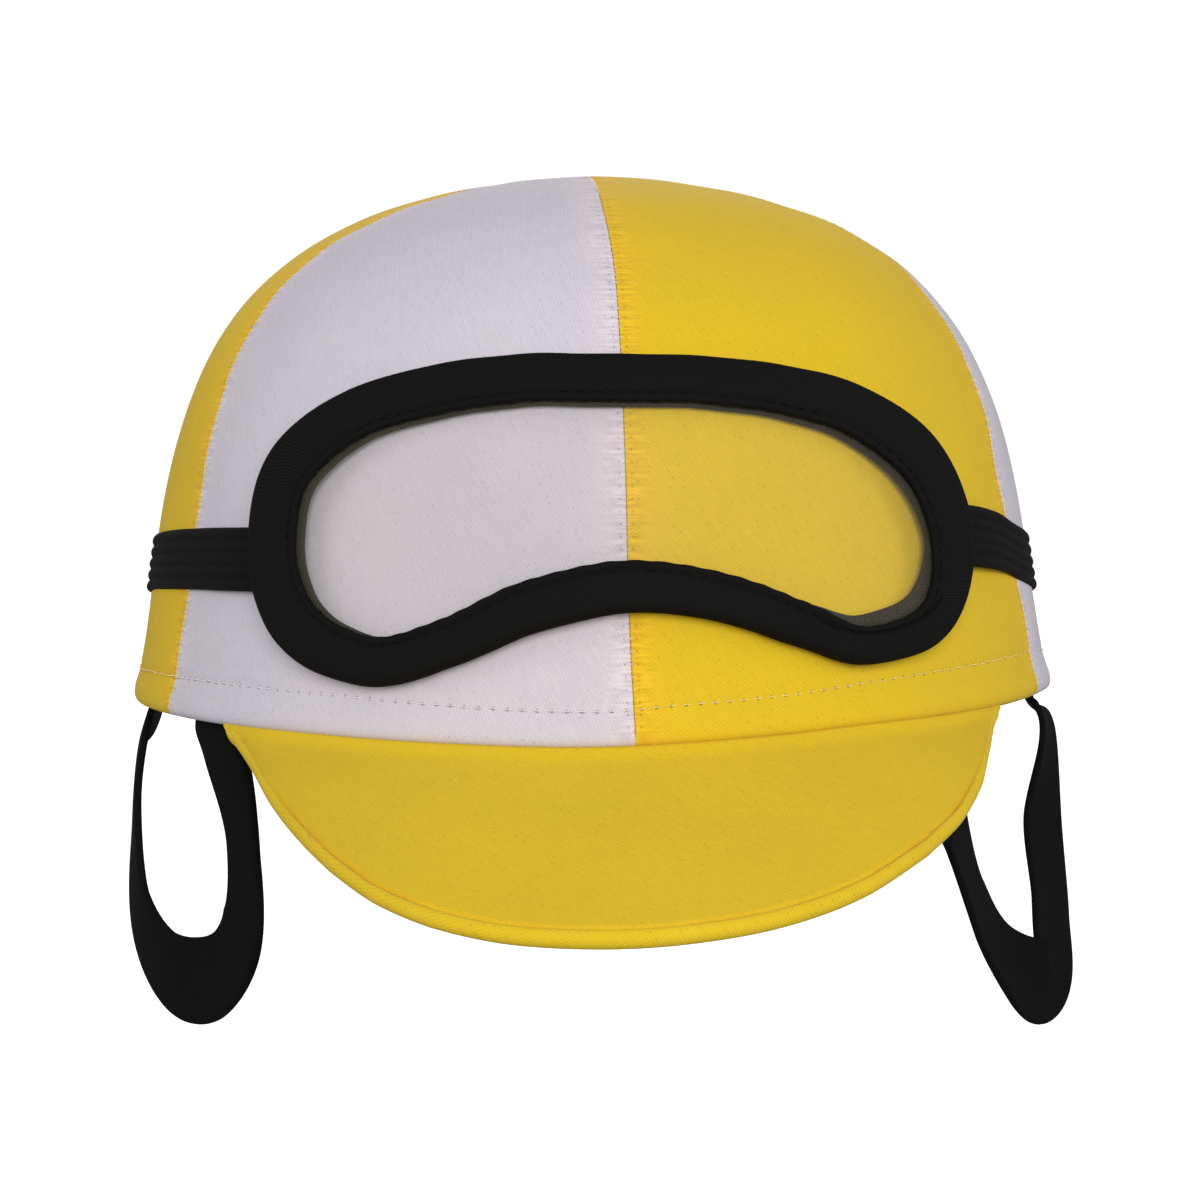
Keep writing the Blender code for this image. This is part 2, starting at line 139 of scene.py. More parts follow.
# Weave of the cloth
THREAD_PITCH = 0.66 * MM
THREAD_TURN = radians(18.0)
GRID_CONTRAST = 0.13
GRID_PATCH = 2.4 * MM
PORE_DEPTH = 0.12
STREAK_TURN = radians(-32.0)
STREAK_CONTRAST = 0.025
# How far the seam tone reaches, a tone partly the doubled cloth's own and partly painted bounce light and
# shade
SEAM_TONE_AND_LIGHT_REACH = 8.0 * MM
CLOTH_RELIEF = 0.03 * MM

# Tape
TWILL_TURN = radians(35.0)
# Pale specks on the tapes are painted glints of light: how much they show, and their colour
GLINT_SHOWN = 0.06
GLINT_COLOUR = (0.25, 0.24, 0.22, 1.0)
BINDING_STITCH = 2.6 * MM
BINDING_STITCH_INSET = 1.3 * MM
BINDING_GATHER = 0.07 * MM
STRAP_SWAY = 0.25 * MM
LOOP_CUP = 0.25 * MM
LOOP_WAVER = 0.12 * MM

# The hem's stitches climb a little towards both sides
HEM_LINE = make_table(
    "azimuth_deg height_mm",
    (
        (-180.0, 5.0),
        (-120.0, 5.2),
        (-80.0, 6.0),
        (-60.0, 6.6),
        (-35.0, 6.4),
        (-20.0, 5.6),
        (-8.0, 5.1),
        (-2.0, 5.0),
        (4.0, 5.4),
        (18.0, 6.0),
        (30.0, 7.0),
        (42.0, 7.7),
        (54.0, 8.0),
        (62.0, 8.0),
        (80.0, 6.5),
        (120.0, 5.2),
        (180.0, 5.0),
    ),
)

# Peak
PEAK_SLOPE = radians(22.0)
PEAK_THICKNESS = 2.8 * MM
PEAK_DROOP = 0.8 * MM
PEAK_DROOP_REACH = 50.0 * MM
PEAK_OVERHANG = 0.42 * MM
PEAK_FLANGE_HEIGHT = 6.5 * MM
PEAK_FLANGE_THICKNESS = 1.4 * MM
PEAK_FLANGE_FOOT = 1.7 * MM
PEAK_COLUMNS = 260
PEAK_ROWS = 80
PEAK_RIM_SEAM = 1.9 * MM
PEAK_RIM_DIP = 0.3 * MM
PEAK_RIM_DIP_REACH = 0.35 * MM
PEAK_PLAIN_REACH = 16.0 * MM
PEAK_ROOT_RISE = 0.75 * MM
PEAK_ROOT_REACH = 2.2 * MM
PEAK_LIP = 0.12 * MM
PEAK_UNEVENNESS = 0.16 * MM
# How steeply the peak's darker rim seam tone fades: partly the doubled cloth, partly painted shade where the
# cover rolls over the rim
PEAK_SEAM_TONE_AND_SHADE = 8.0
PEAK_OUTLINE = make_table(
    "azimuth_deg reach_mm",
    (
        (-49.0, 2.0),
        (-45.0, 9.5),
        (-41.0, 20.5),
        (-37.0, 29.0),
        (-33.0, 36.0),
        (-28.0, 42.5),
        (-22.0, 47.0),
        (-15.0, 49.5),
        (-6.0, 50.0),
        (4.0, 49.5),
        (13.0, 47.5),
        (22.0, 43.0),
        (30.0, 36.0),
        (36.0, 29.0),
        (41.0, 20.5),
        (45.0, 10.5),
        (49.0, 2.0),
    ),
)

# Goggles: the middle line of the binding, clockwise from the top as the viewer sees it
GOGGLE_CLEARANCE = 0.7 * MM
GOGGLE_LIFT = 2.4 * MM
GOGGLE_LIFT_START = 26.0
GOGGLE_LIFT_SPAN = 18.0
GOGGLE_LIFT_CURVE = 1.6
BINDING_STATIONS = 640
BINDING_THICKNESS = 2.8 * MM
LENS_TUCK = 2.7 * MM
LENS_THICKNESS = 0.25 * MM
LENS_WAVE = 0.12 * MM
BINDING_OUTLINE = make_table(
    "azimuth_deg height_mm width_mm",
    (
        (-1.5, 54.5, 7.5),
        (9.0, 54.0, 7.5),
        (19.0, 52.5, 8.0),
        (28.5, 49.0, 9.0),
        (36.5, 41.0, 10.5),
        (39.0, 28.5, 10.5),
        (35.0, 17.0, 9.5),
        (26.0, 13.5, 8.5),
        (17.5, 17.0, 7.5),
        (8.5, 21.5, 7.5),
        (-1.0, 23.0, 8.0),
        (-10.5, 20.0, 8.0),
        (-19.0, 14.5, 7.5),
        (-27.5, 11.5, 8.0),
        (-36.0, 16.5, 9.5),
        (-40.0, 28.0, 10.0),
        (-39.0, 41.0, 10.0),
        (-31.5, 49.5, 8.5),
        (-22.0, 53.0, 8.0),
        (-12.0, 54.5, 7.5),
    ),
)
# How far the tape's hidden half reaches further in, and how far its shown lip is drawn back, at those rows
PLAIN_EDGE = (0.2, 0.0)
BINDING_EDGES = make_table(
    "hidden_mm shown_mm",
    (
        *[PLAIN_EDGE] * 3,
        (0.4, 0.0),
        (0.3, 0.0),
        (-0.7, 0.2),
        (0.0, 1.9),
        (-0.1, 2.2),
        (0.0, 0.4),
        *[PLAIN_EDGE] * 11,
    ),
)
# Section of the folded tape: side is -1 at the inner edge and 1 at the outer one, turned_in is 1 on the
# hidden half's edge, and lip is 1 on the shown half's edge
BINDING_SECTION = make_table(
    "side offset_mm lift_mm turned_in lip",
    (
        (-1.0, 0.0, 0.35, 1.0, 0.0),
        (-1.0, 0.15, 0.1, 1.0, 0.0),
        (-1.0, 0.5, 0.0, 1.0, 0.0),
        (-0.4, 0.0, 0.0, 0.0, 0.0),
        (0.4, 0.0, 0.0, 0.0, 0.0),
        (1.0, -1.4, 0.05, 0.0, 0.0),
        (1.0, -0.7, 0.25, 0.0, 0.0),
        (1.0, -0.3, 0.7, 0.0, 0.0),
        (1.0, -0.2, 1.3, 0.0, 0.0),
        (1.0, -0.25, 1.9, 0.0, 0.0),
        (1.0, -0.5, 2.4, 0.0, 0.0),
        (1.0, -0.95, 2.75, 0.0, 0.0),
        (1.0, -1.6, 2.9, 0.0, 0.0),
        (0.45, 0.0, 2.95, 0.0, 0.0),
        (0.2, 0.0, 2.92, 0.0, 0.0),
        (0.0, 0.0, 2.96, 0.0, 0.0),
        (-0.25, 0.0, 2.98, 0.0, 0.0),
        (-1.0, 2.1, 2.95, 0.0, 1.0),
        (-1.0, 1.75, 2.85, 0.0, 1.0),
        (-1.0, 1.5, 2.68, 0.0, 1.0),
        (-1.0, 1.3, 2.6, 0.0, 1.0),
        (-1.0, 1.1, 2.68, 0.0, 1.0),
        (-1.0, 0.85, 2.82, 0.0, 1.0),
        (-1.0, 0.5, 2.82, 0.0, 1.0),
        (-1.0, 0.2, 2.7, 0.0, 1.0),
        (-1.0, 0.0, 2.45, 0.0, 1.0),
        (-1.0, 0.0, 2.05, 0.0, 1.0),
        (-1.0, 0.2, 1.85, 0.0, 1.0),
        (-1.0, 3.6, 1.8, 0.0, 0.0),
        (-1.0, 3.6, 1.0, 0.0, 0.0),
        (-1.0, 0.4, 0.95, 1.0, 0.0),
        (-1.0, 0.1, 0.8, 1.0, 0.0),
    ),
)

# Elastic strap
STRAP_WIDTH = 10.4 * MM
STRAP_THICKNESS = 1.0 * MM
STRAP_CLEARANCE = 0.35 * MM
STRAP_STATIONS = 620
STRAP_TAKE_OFF = 46.0
STRAP_LANDING = 62.0
STRAP_RIBS = 5
STRAP_RIB_DEPTH = 0.4 * MM
STRAP_SUNK = 0.5 * MM
STRAP_LINE = make_table(
    "azimuth_deg height_mm",
    (
        (41.5, 30.0),
        (54.0, 28.0),
        (66.0, 25.0),
        (90.0, 21.0),
        (135.0, 18.0),
        (180.0, 18.0),
        (225.0, 20.5),
        (270.0, 24.0),
        (288.0, 26.0),
        (304.0, 27.0),
        (318.5, 27.0),
    ),
)

# Chin loops
LOOP_WIDTH = 15.0 * MM
LOOP_THICKNESS = 1.2 * MM
LOOP_STATIONS = 320
LOOP_LEFT_ENDS = (-54.5, -84.0)
LOOP_RIGHT_ENDS = (42.0, 77.0)
LOOP_SEWN_TOP = 6.0 * MM
LOOP_SEWN_FOOT = -1.0 * MM
LOOP_SEAT = 0.55 * MM
LOOP_COLUMN_NAMES = "across_mm depth_mm height_mm turn_deg"
LOOP_LEFT = make_table(
    LOOP_COLUMN_NAMES,
    (
        (-64.5, -58.0, -8.0, -32.0),
        (-62.5, -56.0, -22.0, -23.0),
        (-63.0, -56.0, -36.0, -27.0),
        (-68.5, -46.0, -45.5, -16.0),
        (-77.0, -35.5, -46.5, -19.0),
        (-83.5, -24.0, -38.0, -18.0),
        (-84.5, -19.0, -20.5, -9.0),
        (-83.5, -13.0, -7.0, -12.0),
    ),
)
LOOP_RIGHT = make_table(
    LOOP_COLUMN_NAMES,
    (
        (54.5, -70.5, -9.0, 36.0),
        (57.5, -61.0, -18.0, 23.0),
        (63.5, -54.5, -35.5, 14.0),
        (71.5, -45.5, -47.5, 11.0),
        (80.0, -37.0, -51.0, 41.0),
        (82.0, -29.0, -40.0, 40.0),
        (82.0, -23.0, -24.0, 38.0),
        (82.5, -24.0, -7.0, 19.0),
    ),
)

# Camera, worked out from the hem, the seams and the outline in the photograph
CAMERA_PLACE = Vector((-28.97, -487.35, 41.88)) * MM
CAMERA_LENS = 76.71
CAMERA_DOWN = radians(3.0)
CAMERA_YAW = radians(-3.642)
CAMERA_ROLL = radians(-0.663)


# Smooth curves through short tables


def smooth_step(share):
    held = np.clip(share, 0.0, 1.0)
    return held * held * (3.0 - 2.0 * held)


def cubic(before, start, end, after, share):
    """The Catmull-Rom value between start and end."""
    linear = end - before
    square = 2.0 * before - 5.0 * start + 4.0 * end - after
    cube = 3.0 * (start - end) + after - before
    return start + 0.5 * share * (linear + share * (square + share * cube))


def read_rows(rows, positions, closed):
    """The table's columns at positions counted in rows, smoothed between the rows."""
    table = np.array(rows)
    count = len(table)
    low = np.floor(positions).astype(int)
    if not closed:
        low = np.minimum(low, count - 2)
    picks = [low - 1, low, low + 1, low + 2]
    picks = [pick % count if closed else np.clip(pick, 0, count - 1) for pick in picks]
    return cubic(*(table[pick] for pick in picks), (positions - low)[:, None]).T


def smooth_rows(rows, stations, closed):
    """The table's columns at evenly counted stations on a smooth curve."""
    spans = len(rows) if closed else len(rows) - 1
    steps = stations if closed else stations - 1
    return read_rows(rows, spans * np.arange(stations) / steps, closed)


def read_at(rows, values):
    """The table's columns where the first one, which grows down the table, has the values."""
    knots = [row[0] for row in rows]
    positions = np.asarray(np.interp(values, knots, np.arange(len(knots))))
    return read_rows(rows, positions.reshape(-1), False).reshape(-1, *positions.shape)


def peak_reach(azimuths):
    """How far the peak reaches forward from the hem, in metres."""
    return read_at(PEAK_OUTLINE, azimuths)[1] * MM


def seam_azimuth(seam, height):
    """Where a seam runs at a height: the front and side seams sway a little as they climb."""
    _, left, front, right = read_at(SEAM_SWAY, height / MM)
    swayed = {-SIDE_SEAM: left, FRONT_SEAM: front, SIDE_SEAM: right}
    return seam + swayed.get(seam, 0.0 * left)


# The crown's surface


def width_share(height):
    share = np.clip(height / CROWN_HEIGHT, 0.0, 1.0)
    dome = (1.0 - SIDE_TAPER * share) * np.sqrt(np.maximum(1.0 - share**TOP_ROUNDNESS, 0.0))
    return dome + HEM_FLARE / HALF_WIDTH * np.exp(-np.maximum(height, 0.0) / HEM_FLARE_REACH)


def hem_lift(azimuth, height):
    """How far the cloth rises above its plain place, because the hem is not quite level."""
    turned = (azimuth + 180.0) % 360.0 - 180.0
    return read_at(HEM_LIFT, turned)[1] * MM * np.exp(-np.maximum(height, 0.0) / HEM_LIFT_REACH)


def unit(vectors):
    return vectors / np.linalg.norm(vectors, axis=-1, keepdims=True)


def crown_frame(azimuth, height):
    """Points on the outside of the crown with their outward and sideways directions."""
    azimuth, height = np.broadcast_arrays(azimuth, height)
    turn = np.radians(azimuth)
    share = width_share(height)
    low = np.maximum(height - SLOPE_STEP, 0.0)
    high = np.minimum(np.maximum(height, 0.0) + SLOPE_STEP, CROWN_HEIGHT)
    slope = (width_share(high) - width_share(low)) / (high - low)
    lifted = height + hem_lift(azimuth, height)
    points = np.stack([HALF_WIDTH * share * np.sin(turn), -HALF_DEPTH * share * np.cos(turn), lifted], -1)
    rise = -HALF_WIDTH * HALF_DEPTH * slope
    outward = np.stack([HALF_DEPTH * np.sin(turn), -HALF_WIDTH * np.cos(turn), rise], -1)
    sideways = np.stack([HALF_WIDTH * np.cos(turn), HALF_DEPTH * np.sin(turn), np.zeros_like(turn)], -1)
    return points, unit(outward), unit(sideways)


def crown_point(azimuth, height, outset):
    points, outward, _ = crown_frame(azimuth, height)
    return points + outward * np.asarray(outset)[..., None]


def side_speed(azimuth, height):
    """Distance along the crown for each degree of azimuth."""
    turn = np.radians(azimuth)
    return width_share(height) * np.hypot(HALF_WIDTH * np.cos(turn), HALF_DEPTH * np.sin(turn)) * pi / 180.0


def unevenness(points, size, seed, count=14):
    """A smooth field of about -1 to 1 whose bumps are about size across."""
    source = np.random.default_rng(seed)
    ways = unit(source.normal(size=(count, 3))) * source.uniform(0.5, 1.2, (count, 1)) * 2.0 * pi / size
    starts = source.uniform(0.0, 2.0 * pi, count)
    return np.sin(points @ ways.T + starts).sum(-1) / np.sqrt(count)


# Meshes


def add_piece(name, points, uv, material, closed_rows=False, closed_columns=False, facts=None):
    """A smooth piece from a grid of points, whose outside is where columns run right and rows run up.

    uv has one more row or column than the points where the grid closes on itself. facts are named
    numbers for each point, which the materials read.
    """
    rows, columns = points.shape[:2]
    row_runs = rows if closed_rows else rows - 1
    column_runs = columns if closed_columns else columns - 1
    row, column = np.meshgrid(np.arange(row_runs), np.arange(column_runs), indexing="ij")
    corners = ((row, column), (row, column + 1), (row + 1, column + 1), (row + 1, column))
    faces = np.stack([(down % rows) * columns + side % columns for down, side in corners], -1).reshape(-1)
    spots = np.stack([down * uv.shape[1] + side for down, side in corners], -1).reshape(-1)
    mesh = bpy.data.meshes.new(name)
    mesh.vertices.add(rows * columns)
    mesh.vertices.foreach_set("co", points.reshape(-1).astype(np.float32))
    mesh.loops.add(len(faces))
    mesh.loops.foreach_set("vertex_index", faces.astype(np.int32))
    mesh.polygons.add(len(faces) // 4)
    mesh.polygons.foreach_set("loop_start", np.arange(0, len(faces), 4, dtype=np.int32))
    mesh.update(calc_edges=True)
    layer = mesh.uv_layers.new(name="cloth")
    layer.uv.foreach_set("vector", uv.reshape(-1, 2)[spots].reshape(-1).astype(np.float32))
    for fact, values in (facts or {}).items():
        attribute = mesh.attributes.new(fact, "FLOAT", "POINT")
        spread = np.broadcast_to(values, (rows, columns)).reshape(-1)
        attribute.data.foreach_set("value", spread.astype(np.float32))
    return link_piece(name, mesh, material)


def link_piece(name, mesh, material):
    mesh.shade_smooth()
    mesh.materials.append(material)
    piece = bpy.data.objects.new(name, mesh)
    bpy.context.scene.collection.objects.link(piece)
    return piece


def place(piece, slot, *nodes):
    """The piece rides on the cap and stands for the nodes; its slot is not used."""
    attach(piece, "root")
    if nodes:
        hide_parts(*nodes)


def run_length(points, axis):
    """Distance covered along an axis of a grid of points, starting at 0."""
    steps = np.linalg.norm(np.diff(points, axis=axis), axis=-1)
    start = np.zeros_like(np.take(steps, [0], axis=axis))
    return np.concatenate([start, np.cumsum(steps, axis=axis)], axis=axis)


def close_run(points, axis):
    """The grid with its first row or column again at the end."""
    return np.concatenate([points, np.take(points, [0], axis=axis)], axis=axis)


def strip_uv(points, along):
    """uv of a strip that closes round its section: the distance along it and the distance round it."""
    around = run_length(close_run(points, 1)[:1], 1)
    return np.stack(np.broadcast_arrays(along[:, None], around), -1)


def add_threads(name, starts, ends, lifts, radius, material, arch=0.12 * MM):
    """Short stitches from starts to ends, which rise by an arch along lifts and dive in at both ends."""
    shares = np.array([0.0, 0.12, 0.3, 0.5, 0.7, 0.88, 1.0])
    dive = -0.35 * MM
    flush = -0.05 * MM
    heights = np.array([dive, flush, arch, arch * 1.2, arch, flush, dive])
    sides = 6
    along = unit(ends - starts)
    across = np.cross(along, lifts)
    middles = starts[:, None] + (ends - starts)[:, None] * shares[:, None] + lifts[:, None] * heights[:, None]
    turns = 2.0 * pi * np.arange(sides) / sides
    spokes = np.cos(turns)[:, None] * lifts[:, None] + np.sin(turns)[:, None] * across[:, None]
    points = middles[:, :, None] + spokes[:, None] * radius
    stitches, stations = points.shape[:2]
    station, side = np.meshgrid(np.arange(stations - 1), np.arange(sides), indexing="ij")
    corners = ((station, side), (station, side + 1), (station + 1, side + 1), (station + 1, side))
    faces = np.stack([down * sides + around % sides for down, around in corners], -1).reshape(-1, 4)
    faces = (faces[None] + np.arange(stitches)[:, None, None] * stations * sides).reshape(-1, 4)
    mesh = bpy.data.meshes.new(name)
    mesh.from_pydata(points.reshape(-1, 3).tolist(), [], faces.tolist())
    return link_piece(name, mesh, material)


# Materials


class Finish:
    """A material whose nodes are added one step at a time."""

    def __init__(self, name, roughness, **constants):
        self.material = bpy.data.materials.new(name)
        self.material.use_nodes = True
        self.tree = self.material.node_tree
        self.surface = self.tree.nodes["Principled BSDF"]
        self.surface.inputs["Roughness"].default_value = roughness
        for socket, value in constants.items():
            self.surface.inputs[socket.replace("_", " ")].default_value = value

    def feed(self, socket, value):
        if isinstance(value, bpy.types.NodeSocket):
            self.tree.links.new(value, socket)
        else:
            socket.default_value = value

    def node(self, kind, inputs, **settings):
        made = self.tree.nodes.new("ShaderNode" + kind)
        for setting, value in settings.items():
            setattr(made, setting, value)
        for socket, value in inputs.items():
            self.feed(made.inputs[socket], value)
        return made

    def math(self, operation, *values):
        return self.node("Math", dict(enumerate(values)), operation=operation).outputs[0]

    def ramp(self, value, low, high, start=0.0, end=1.0):
        """start below low, end above high, and smooth between."""
        inputs = {"Value": value, "From Min": low, "From Max": high, "To Min": start, "To Max": end}
        return self.node("MapRange", inputs, interpolation_type="SMOOTHSTEP").outputs[0]

    def fact(self, name):
        return self.node("Attribute", {}, attribute_name=name).outputs["Fac"]

    def uv(self, turn, across, along):
        """The cloth's own coordinates, turned, and counted in cells of across by along metres."""
        spot = self.node("UVMap", {}, uv_map="cloth").outputs["UV"]
        turned = self.node("VectorRotate", {"Vector": spot, "Angle": turn}, rotation_type="Z_AXIS")
        inputs = {0: turned.outputs[0], 1: (1.0 / across, 1.0 / along, 1.0)}
        return self.node("VectorMath", inputs, operation="MULTIPLY").outputs[0]

    def noise(self, vector, scale, detail=2.0):
        inputs = {"Vector": vector, "Scale": scale, "Detail": detail}
        return self.node("TexNoise", inputs).outputs["Fac"]

    def cells(self, vector, randomness):
        inputs = {"Vector": vector, "Scale": 1.0, "Randomness": randomness}
        return self.node("TexVoronoi", inputs).outputs["Distance"]

    def weave(self, turn, pitch):
        """Light spots at 1 and dark ones at -1, where threads a pitch apart cross."""
        spot = self.node("SeparateXYZ", {"Vector": self.uv(turn, pitch, pitch)})
        waves = [self.math("SINE", self.math("MULTIPLY", spot.outputs[axis], 2.0 * pi)) for axis in (0, 1)]
        return self.math("MULTIPLY", *waves)

    def seam_streaks(self):
        """Short folds across a seam, drawn up by its stitches, that fade within a few millimetres: used as
        painted light and shade in the colour and as relief.
        """
        spot = {0: self.math("MULTIPLY", self.fact("from_seam"), 0.25 / MM)}
        spot[1] = self.math("MULTIPLY", self.fact("seam_stitch"), 3.5)
        folds = self.noise(self.node("CombineXYZ", spot).outputs[0], 1.0, 1.0)
        fade = self.ramp(self.fact("from_seam"), 0.3 * MM, 5.0 * MM, 1.0, 0.0)
        return self.math("MULTIPLY", self.ramp(folds, 0.35, 0.65, -1.0, 1.0), fade)

    def mix(self, share, first, second, blend="MIX"):
        inputs = {0: share, 6: first, 7: second}
        made = self.node("Mix", inputs, data_type="RGBA", blend_type=blend)
        return made.outputs[2]

    def shade(self, share):
        """A grey of that brightness, to multiply with."""
        return self.node("CombineColor", {0: share, 1: share, 2: share}).outputs[0]

    def bump(self, height, distance, strength=1.0):
        inputs = {"Height": height, "Distance": distance, "Strength": strength}
        self.feed(self.surface.inputs["Normal"], self.node("Bump", inputs).outputs[0])


def make_cloth(name, plain, patch, beside_seam, sewn=True):
    """Fine cloth: a slanted grid of light threads and dark pores, in a warmer tone beside its seams that is
    partly the doubled cloth's own and partly painted bounce light and shade; sewn cloth also gets painted
    shade in its needle holes and painted light and shade on the small folds at its seams.
    """
    cloth = Finish(name, 0.9, Sheen_Weight=0.03, Sheen_Roughness=0.5, Specular_IOR_Level=0.15)
    place_in_cloth = cloth.node("TexCoord", {}).outputs["Object"]
    patches = cloth.ramp(cloth.noise(place_in_cloth, 45.0, 3.0), 0.35, 0.65)
    colour = cloth.mix(patches, plain, patch)
    # Beside the seams the colour turns to a seam tone that is partly the doubled cloth's own and partly
    # painted light: painted bounce light on the crown's gores, painted shade on the peak's rim
    near = cloth.ramp(cloth.fact("from_seam"), 0.5 * MM, SEAM_TONE_AND_LIGHT_REACH, 1.0, 0.0)
    uneven = cloth.ramp(cloth.noise(place_in_cloth, 90.0, 2.0), 0.3, 0.6, 0.4, 1.0)
    colour = cloth.mix(cloth.math("MULTIPLY", near, uneven), colour, beside_seam)
    threads = cloth.weave(THREAD_TURN, THREAD_PITCH)
    drift = cloth.ramp(cloth.noise(cloth.uv(0.0, GRID_PATCH, GRID_PATCH), 1.0, 2.0), 0.3, 0.7, 0.35, 1.0)
    grid = cloth.math("MULTIPLY", threads, cloth.math("MULTIPLY", drift, GRID_CONTRAST))
    pores = cloth.cells(cloth.uv(THREAD_TURN, 1.3 * MM, 1.1 * MM), 0.75)
    pore = cloth.ramp(pores, 0.1, 0.26, PORE_DEPTH, 0.0)
    streaks = cloth.noise(cloth.uv(STREAK_TURN, 0.5 * MM, 4.5 * MM), 1.0, 2.0)
    streak = cloth.ramp(streaks, 0.3, 0.7, -STREAK_CONTRAST, STREAK_CONTRAST)
    bright = cloth.math("ADD", cloth.math("ADD", 1.0, grid), cloth.math("SUBTRACT", streak, pore))
    relief = cloth.math("SUBTRACT", threads, cloth.math("MULTIPLY", pore, 6.0))
    if sewn:
        drawn = cloth.seam_streaks()
        # The seam's small folds are painted as lighter and darker streaks in the colour, painted light and
        # shade, and are also bumped
        bright = cloth.math("MULTIPLY_ADD", drawn, 0.12, bright)
        # The needle holes are darkened: painted shade in the holes
        bright = cloth.math("SUBTRACT", bright, needle_holes(cloth))
        relief = cloth.math("MULTIPLY_ADD", drawn, 2.5, relief)
    colour = cloth.mix(1.0, colour, cloth.shade(bright), "MULTIPLY")
    cloth.feed(cloth.surface.inputs["Base Color"], colour)
    cloth.bump(relief, CLOTH_RELIEF, 0.5)
    return cloth.material


def needle_holes(cloth):
    """Painted shade in the needle holes: dark pricks beside the seams and along the hem's stitch line."""

    def pricks(stitch, pitch, side, inside, edge, depth):
        phase = cloth.math("SUBTRACT", cloth.math("FRACT", cloth.fact(stitch)), 0.5)
        far = cloth.math("POWER", cloth.math("MULTIPLY", phase, pitch), 2.0)
        far = cloth.math("ADD", far, cloth.math("POWER", side, 2.0))
        return cloth.ramp(cloth.math("SQRT", far), inside, edge, depth, 0.0)

    beside = cloth.math("SUBTRACT", cloth.fact("from_seam"), NEEDLE_FROM_SEAM)
    seam = pricks("seam_stitch", SEAM_STITCH, beside, 0.08 * MM, 0.3 * MM, 0.3)
    hem = pricks("hem_stitch", HEM_STITCH, cloth.fact("from_hem_line"), 0.12 * MM, 0.42 * MM, 0.5)
    return cloth.math("MAXIMUM", seam, hem)


def make_thread(name, colour):
    thread = Finish(name, 0.75, Sheen_Weight=0.0, Specular_IOR_Level=0.1)
    grain = thread.noise(thread.node("TexCoord", {}).outputs["Object"], 2600.0, 1.0)
    shade = thread.ramp(grain, 0.3, 0.7, 0.82, 1.1)
    thread.feed(thread.surface.inputs["Base Color"], thread.mix(1.0, colour, thread.shade(shade), "MULTIPLY"))
    thread.bump(grain, 0.04 * MM)
    return thread.material


def make_tape(name, colour, rib, depth, glint_share, gloss):
    """Black woven tape with ribs at a pitch across it and a few pale specks, painted glints of light on the
    weave.
    """
    tape = Finish(name, 0.75, Sheen_Weight=0.0, Specular_IOR_Level=gloss)
    wave = {"Vector": tape.uv(TWILL_TURN, rib, rib), "Scale": 0.3}
    twill = tape.node("TexWave", wave, bands_direction="X").outputs["Fac"]
    grain = tape.noise(tape.uv(0.0, 0.3 * MM, 0.3 * MM), 1.0, 2.0)
    weave = tape.math("MULTIPLY_ADD", grain, 0.6, twill)
    shade = tape.ramp(weave, 0.3, 1.4, 0.55, 1.6)
    plain = tape.mix(1.0, colour, tape.shade(shade), "MULTIPLY")
    # Pale specks on the weave: painted glints of light
    glint_noise = tape.noise(tape.uv(0.4, 0.42 * MM, 0.5 * MM), 1.0, 1.0)
    shown = tape.ramp(glint_noise, glint_share, glint_share + 0.05, 0.0, GLINT_SHOWN)
    tape.feed(tape.surface.inputs["Base Color"], tape.mix(shown, plain, GLINT_COLOUR))
    tape.bump(weave, depth, 0.8)
    return tape.material


def make_film():
    film = Finish("clear_film", 0.1, Alpha=0.05, IOR=1.47, Specular_IOR_Level=0.1)
    haze = film.noise(film.node("TexCoord", {}).outputs["Object"], 60.0, 3.0)
    tone = film.mix(haze, (0.43, 0.38, 0.27, 1.0), (0.5, 0.44, 0.31, 1.0))
    film.feed(film.surface.inputs["Base Color"], tone)
    film.bump(haze, 0.3 * MM, 0.3)
    return film.material


# Seam colours: brighter on the white and more orange on the yellow, partly the doubled cloth and partly
# painted bounce light from the next gore; darker on the peak, partly painted shade where its cover rolls over
# the rim
WHITE = make_cloth(
    "white_cloth",
    plain=(0.57, 0.525, 0.575, 1.0),
    patch=(0.55, 0.51, 0.57, 1.0),
    beside_seam=(0.63, 0.56, 0.6, 1.0),
)
YELLOW = make_cloth(
    "yellow_cloth",
    plain=(0.67, 0.45, 0.016, 1.0),
    patch=(0.65, 0.44, 0.018, 1.0),
    beside_seam=(0.73, 0.445, 0.02, 1.0),
)
YELLOW_PEAK = make_cloth(
    "yellow_peak_cloth",
    plain=(0.68, 0.46, 0.016, 1.0),
    patch=(0.66, 0.45, 0.016, 1.0),
    beside_seam=(0.66, 0.39, 0.012, 1.0),
    sewn=False,
)
WHITE_THREAD = make_thread("white_thread", (0.68, 0.63, 0.65, 1.0))
CREAM_THREAD = make_thread("cream_thread", (0.74, 0.6, 0.25, 1.0))
BLACK_THREAD = make_thread("black_thread", (0.004, 0.004, 0.004, 1.0))
BINDING_BLACK = (0.0042, 0.004, 0.0038, 1.0)
TAPE_BLACK = (0.005, 0.0045, 0.004, 1.0)
BINDING_TAPE = make_tape("binding_tape", BINDING_BLACK, 0.46 * MM, 0.05 * MM, glint_share=0.83, gloss=0.08)
ELASTIC = make_tape("strap_elastic", TAPE_BLACK, 0.5 * MM, 0.08 * MM, glint_share=0.82, gloss=0.08)
LOOP_TAPE = make_tape("loop_tape", TAPE_BLACK, 0.35 * MM, 0.02 * MM, glint_share=0.85, gloss=0.04)
FILM = make_film()

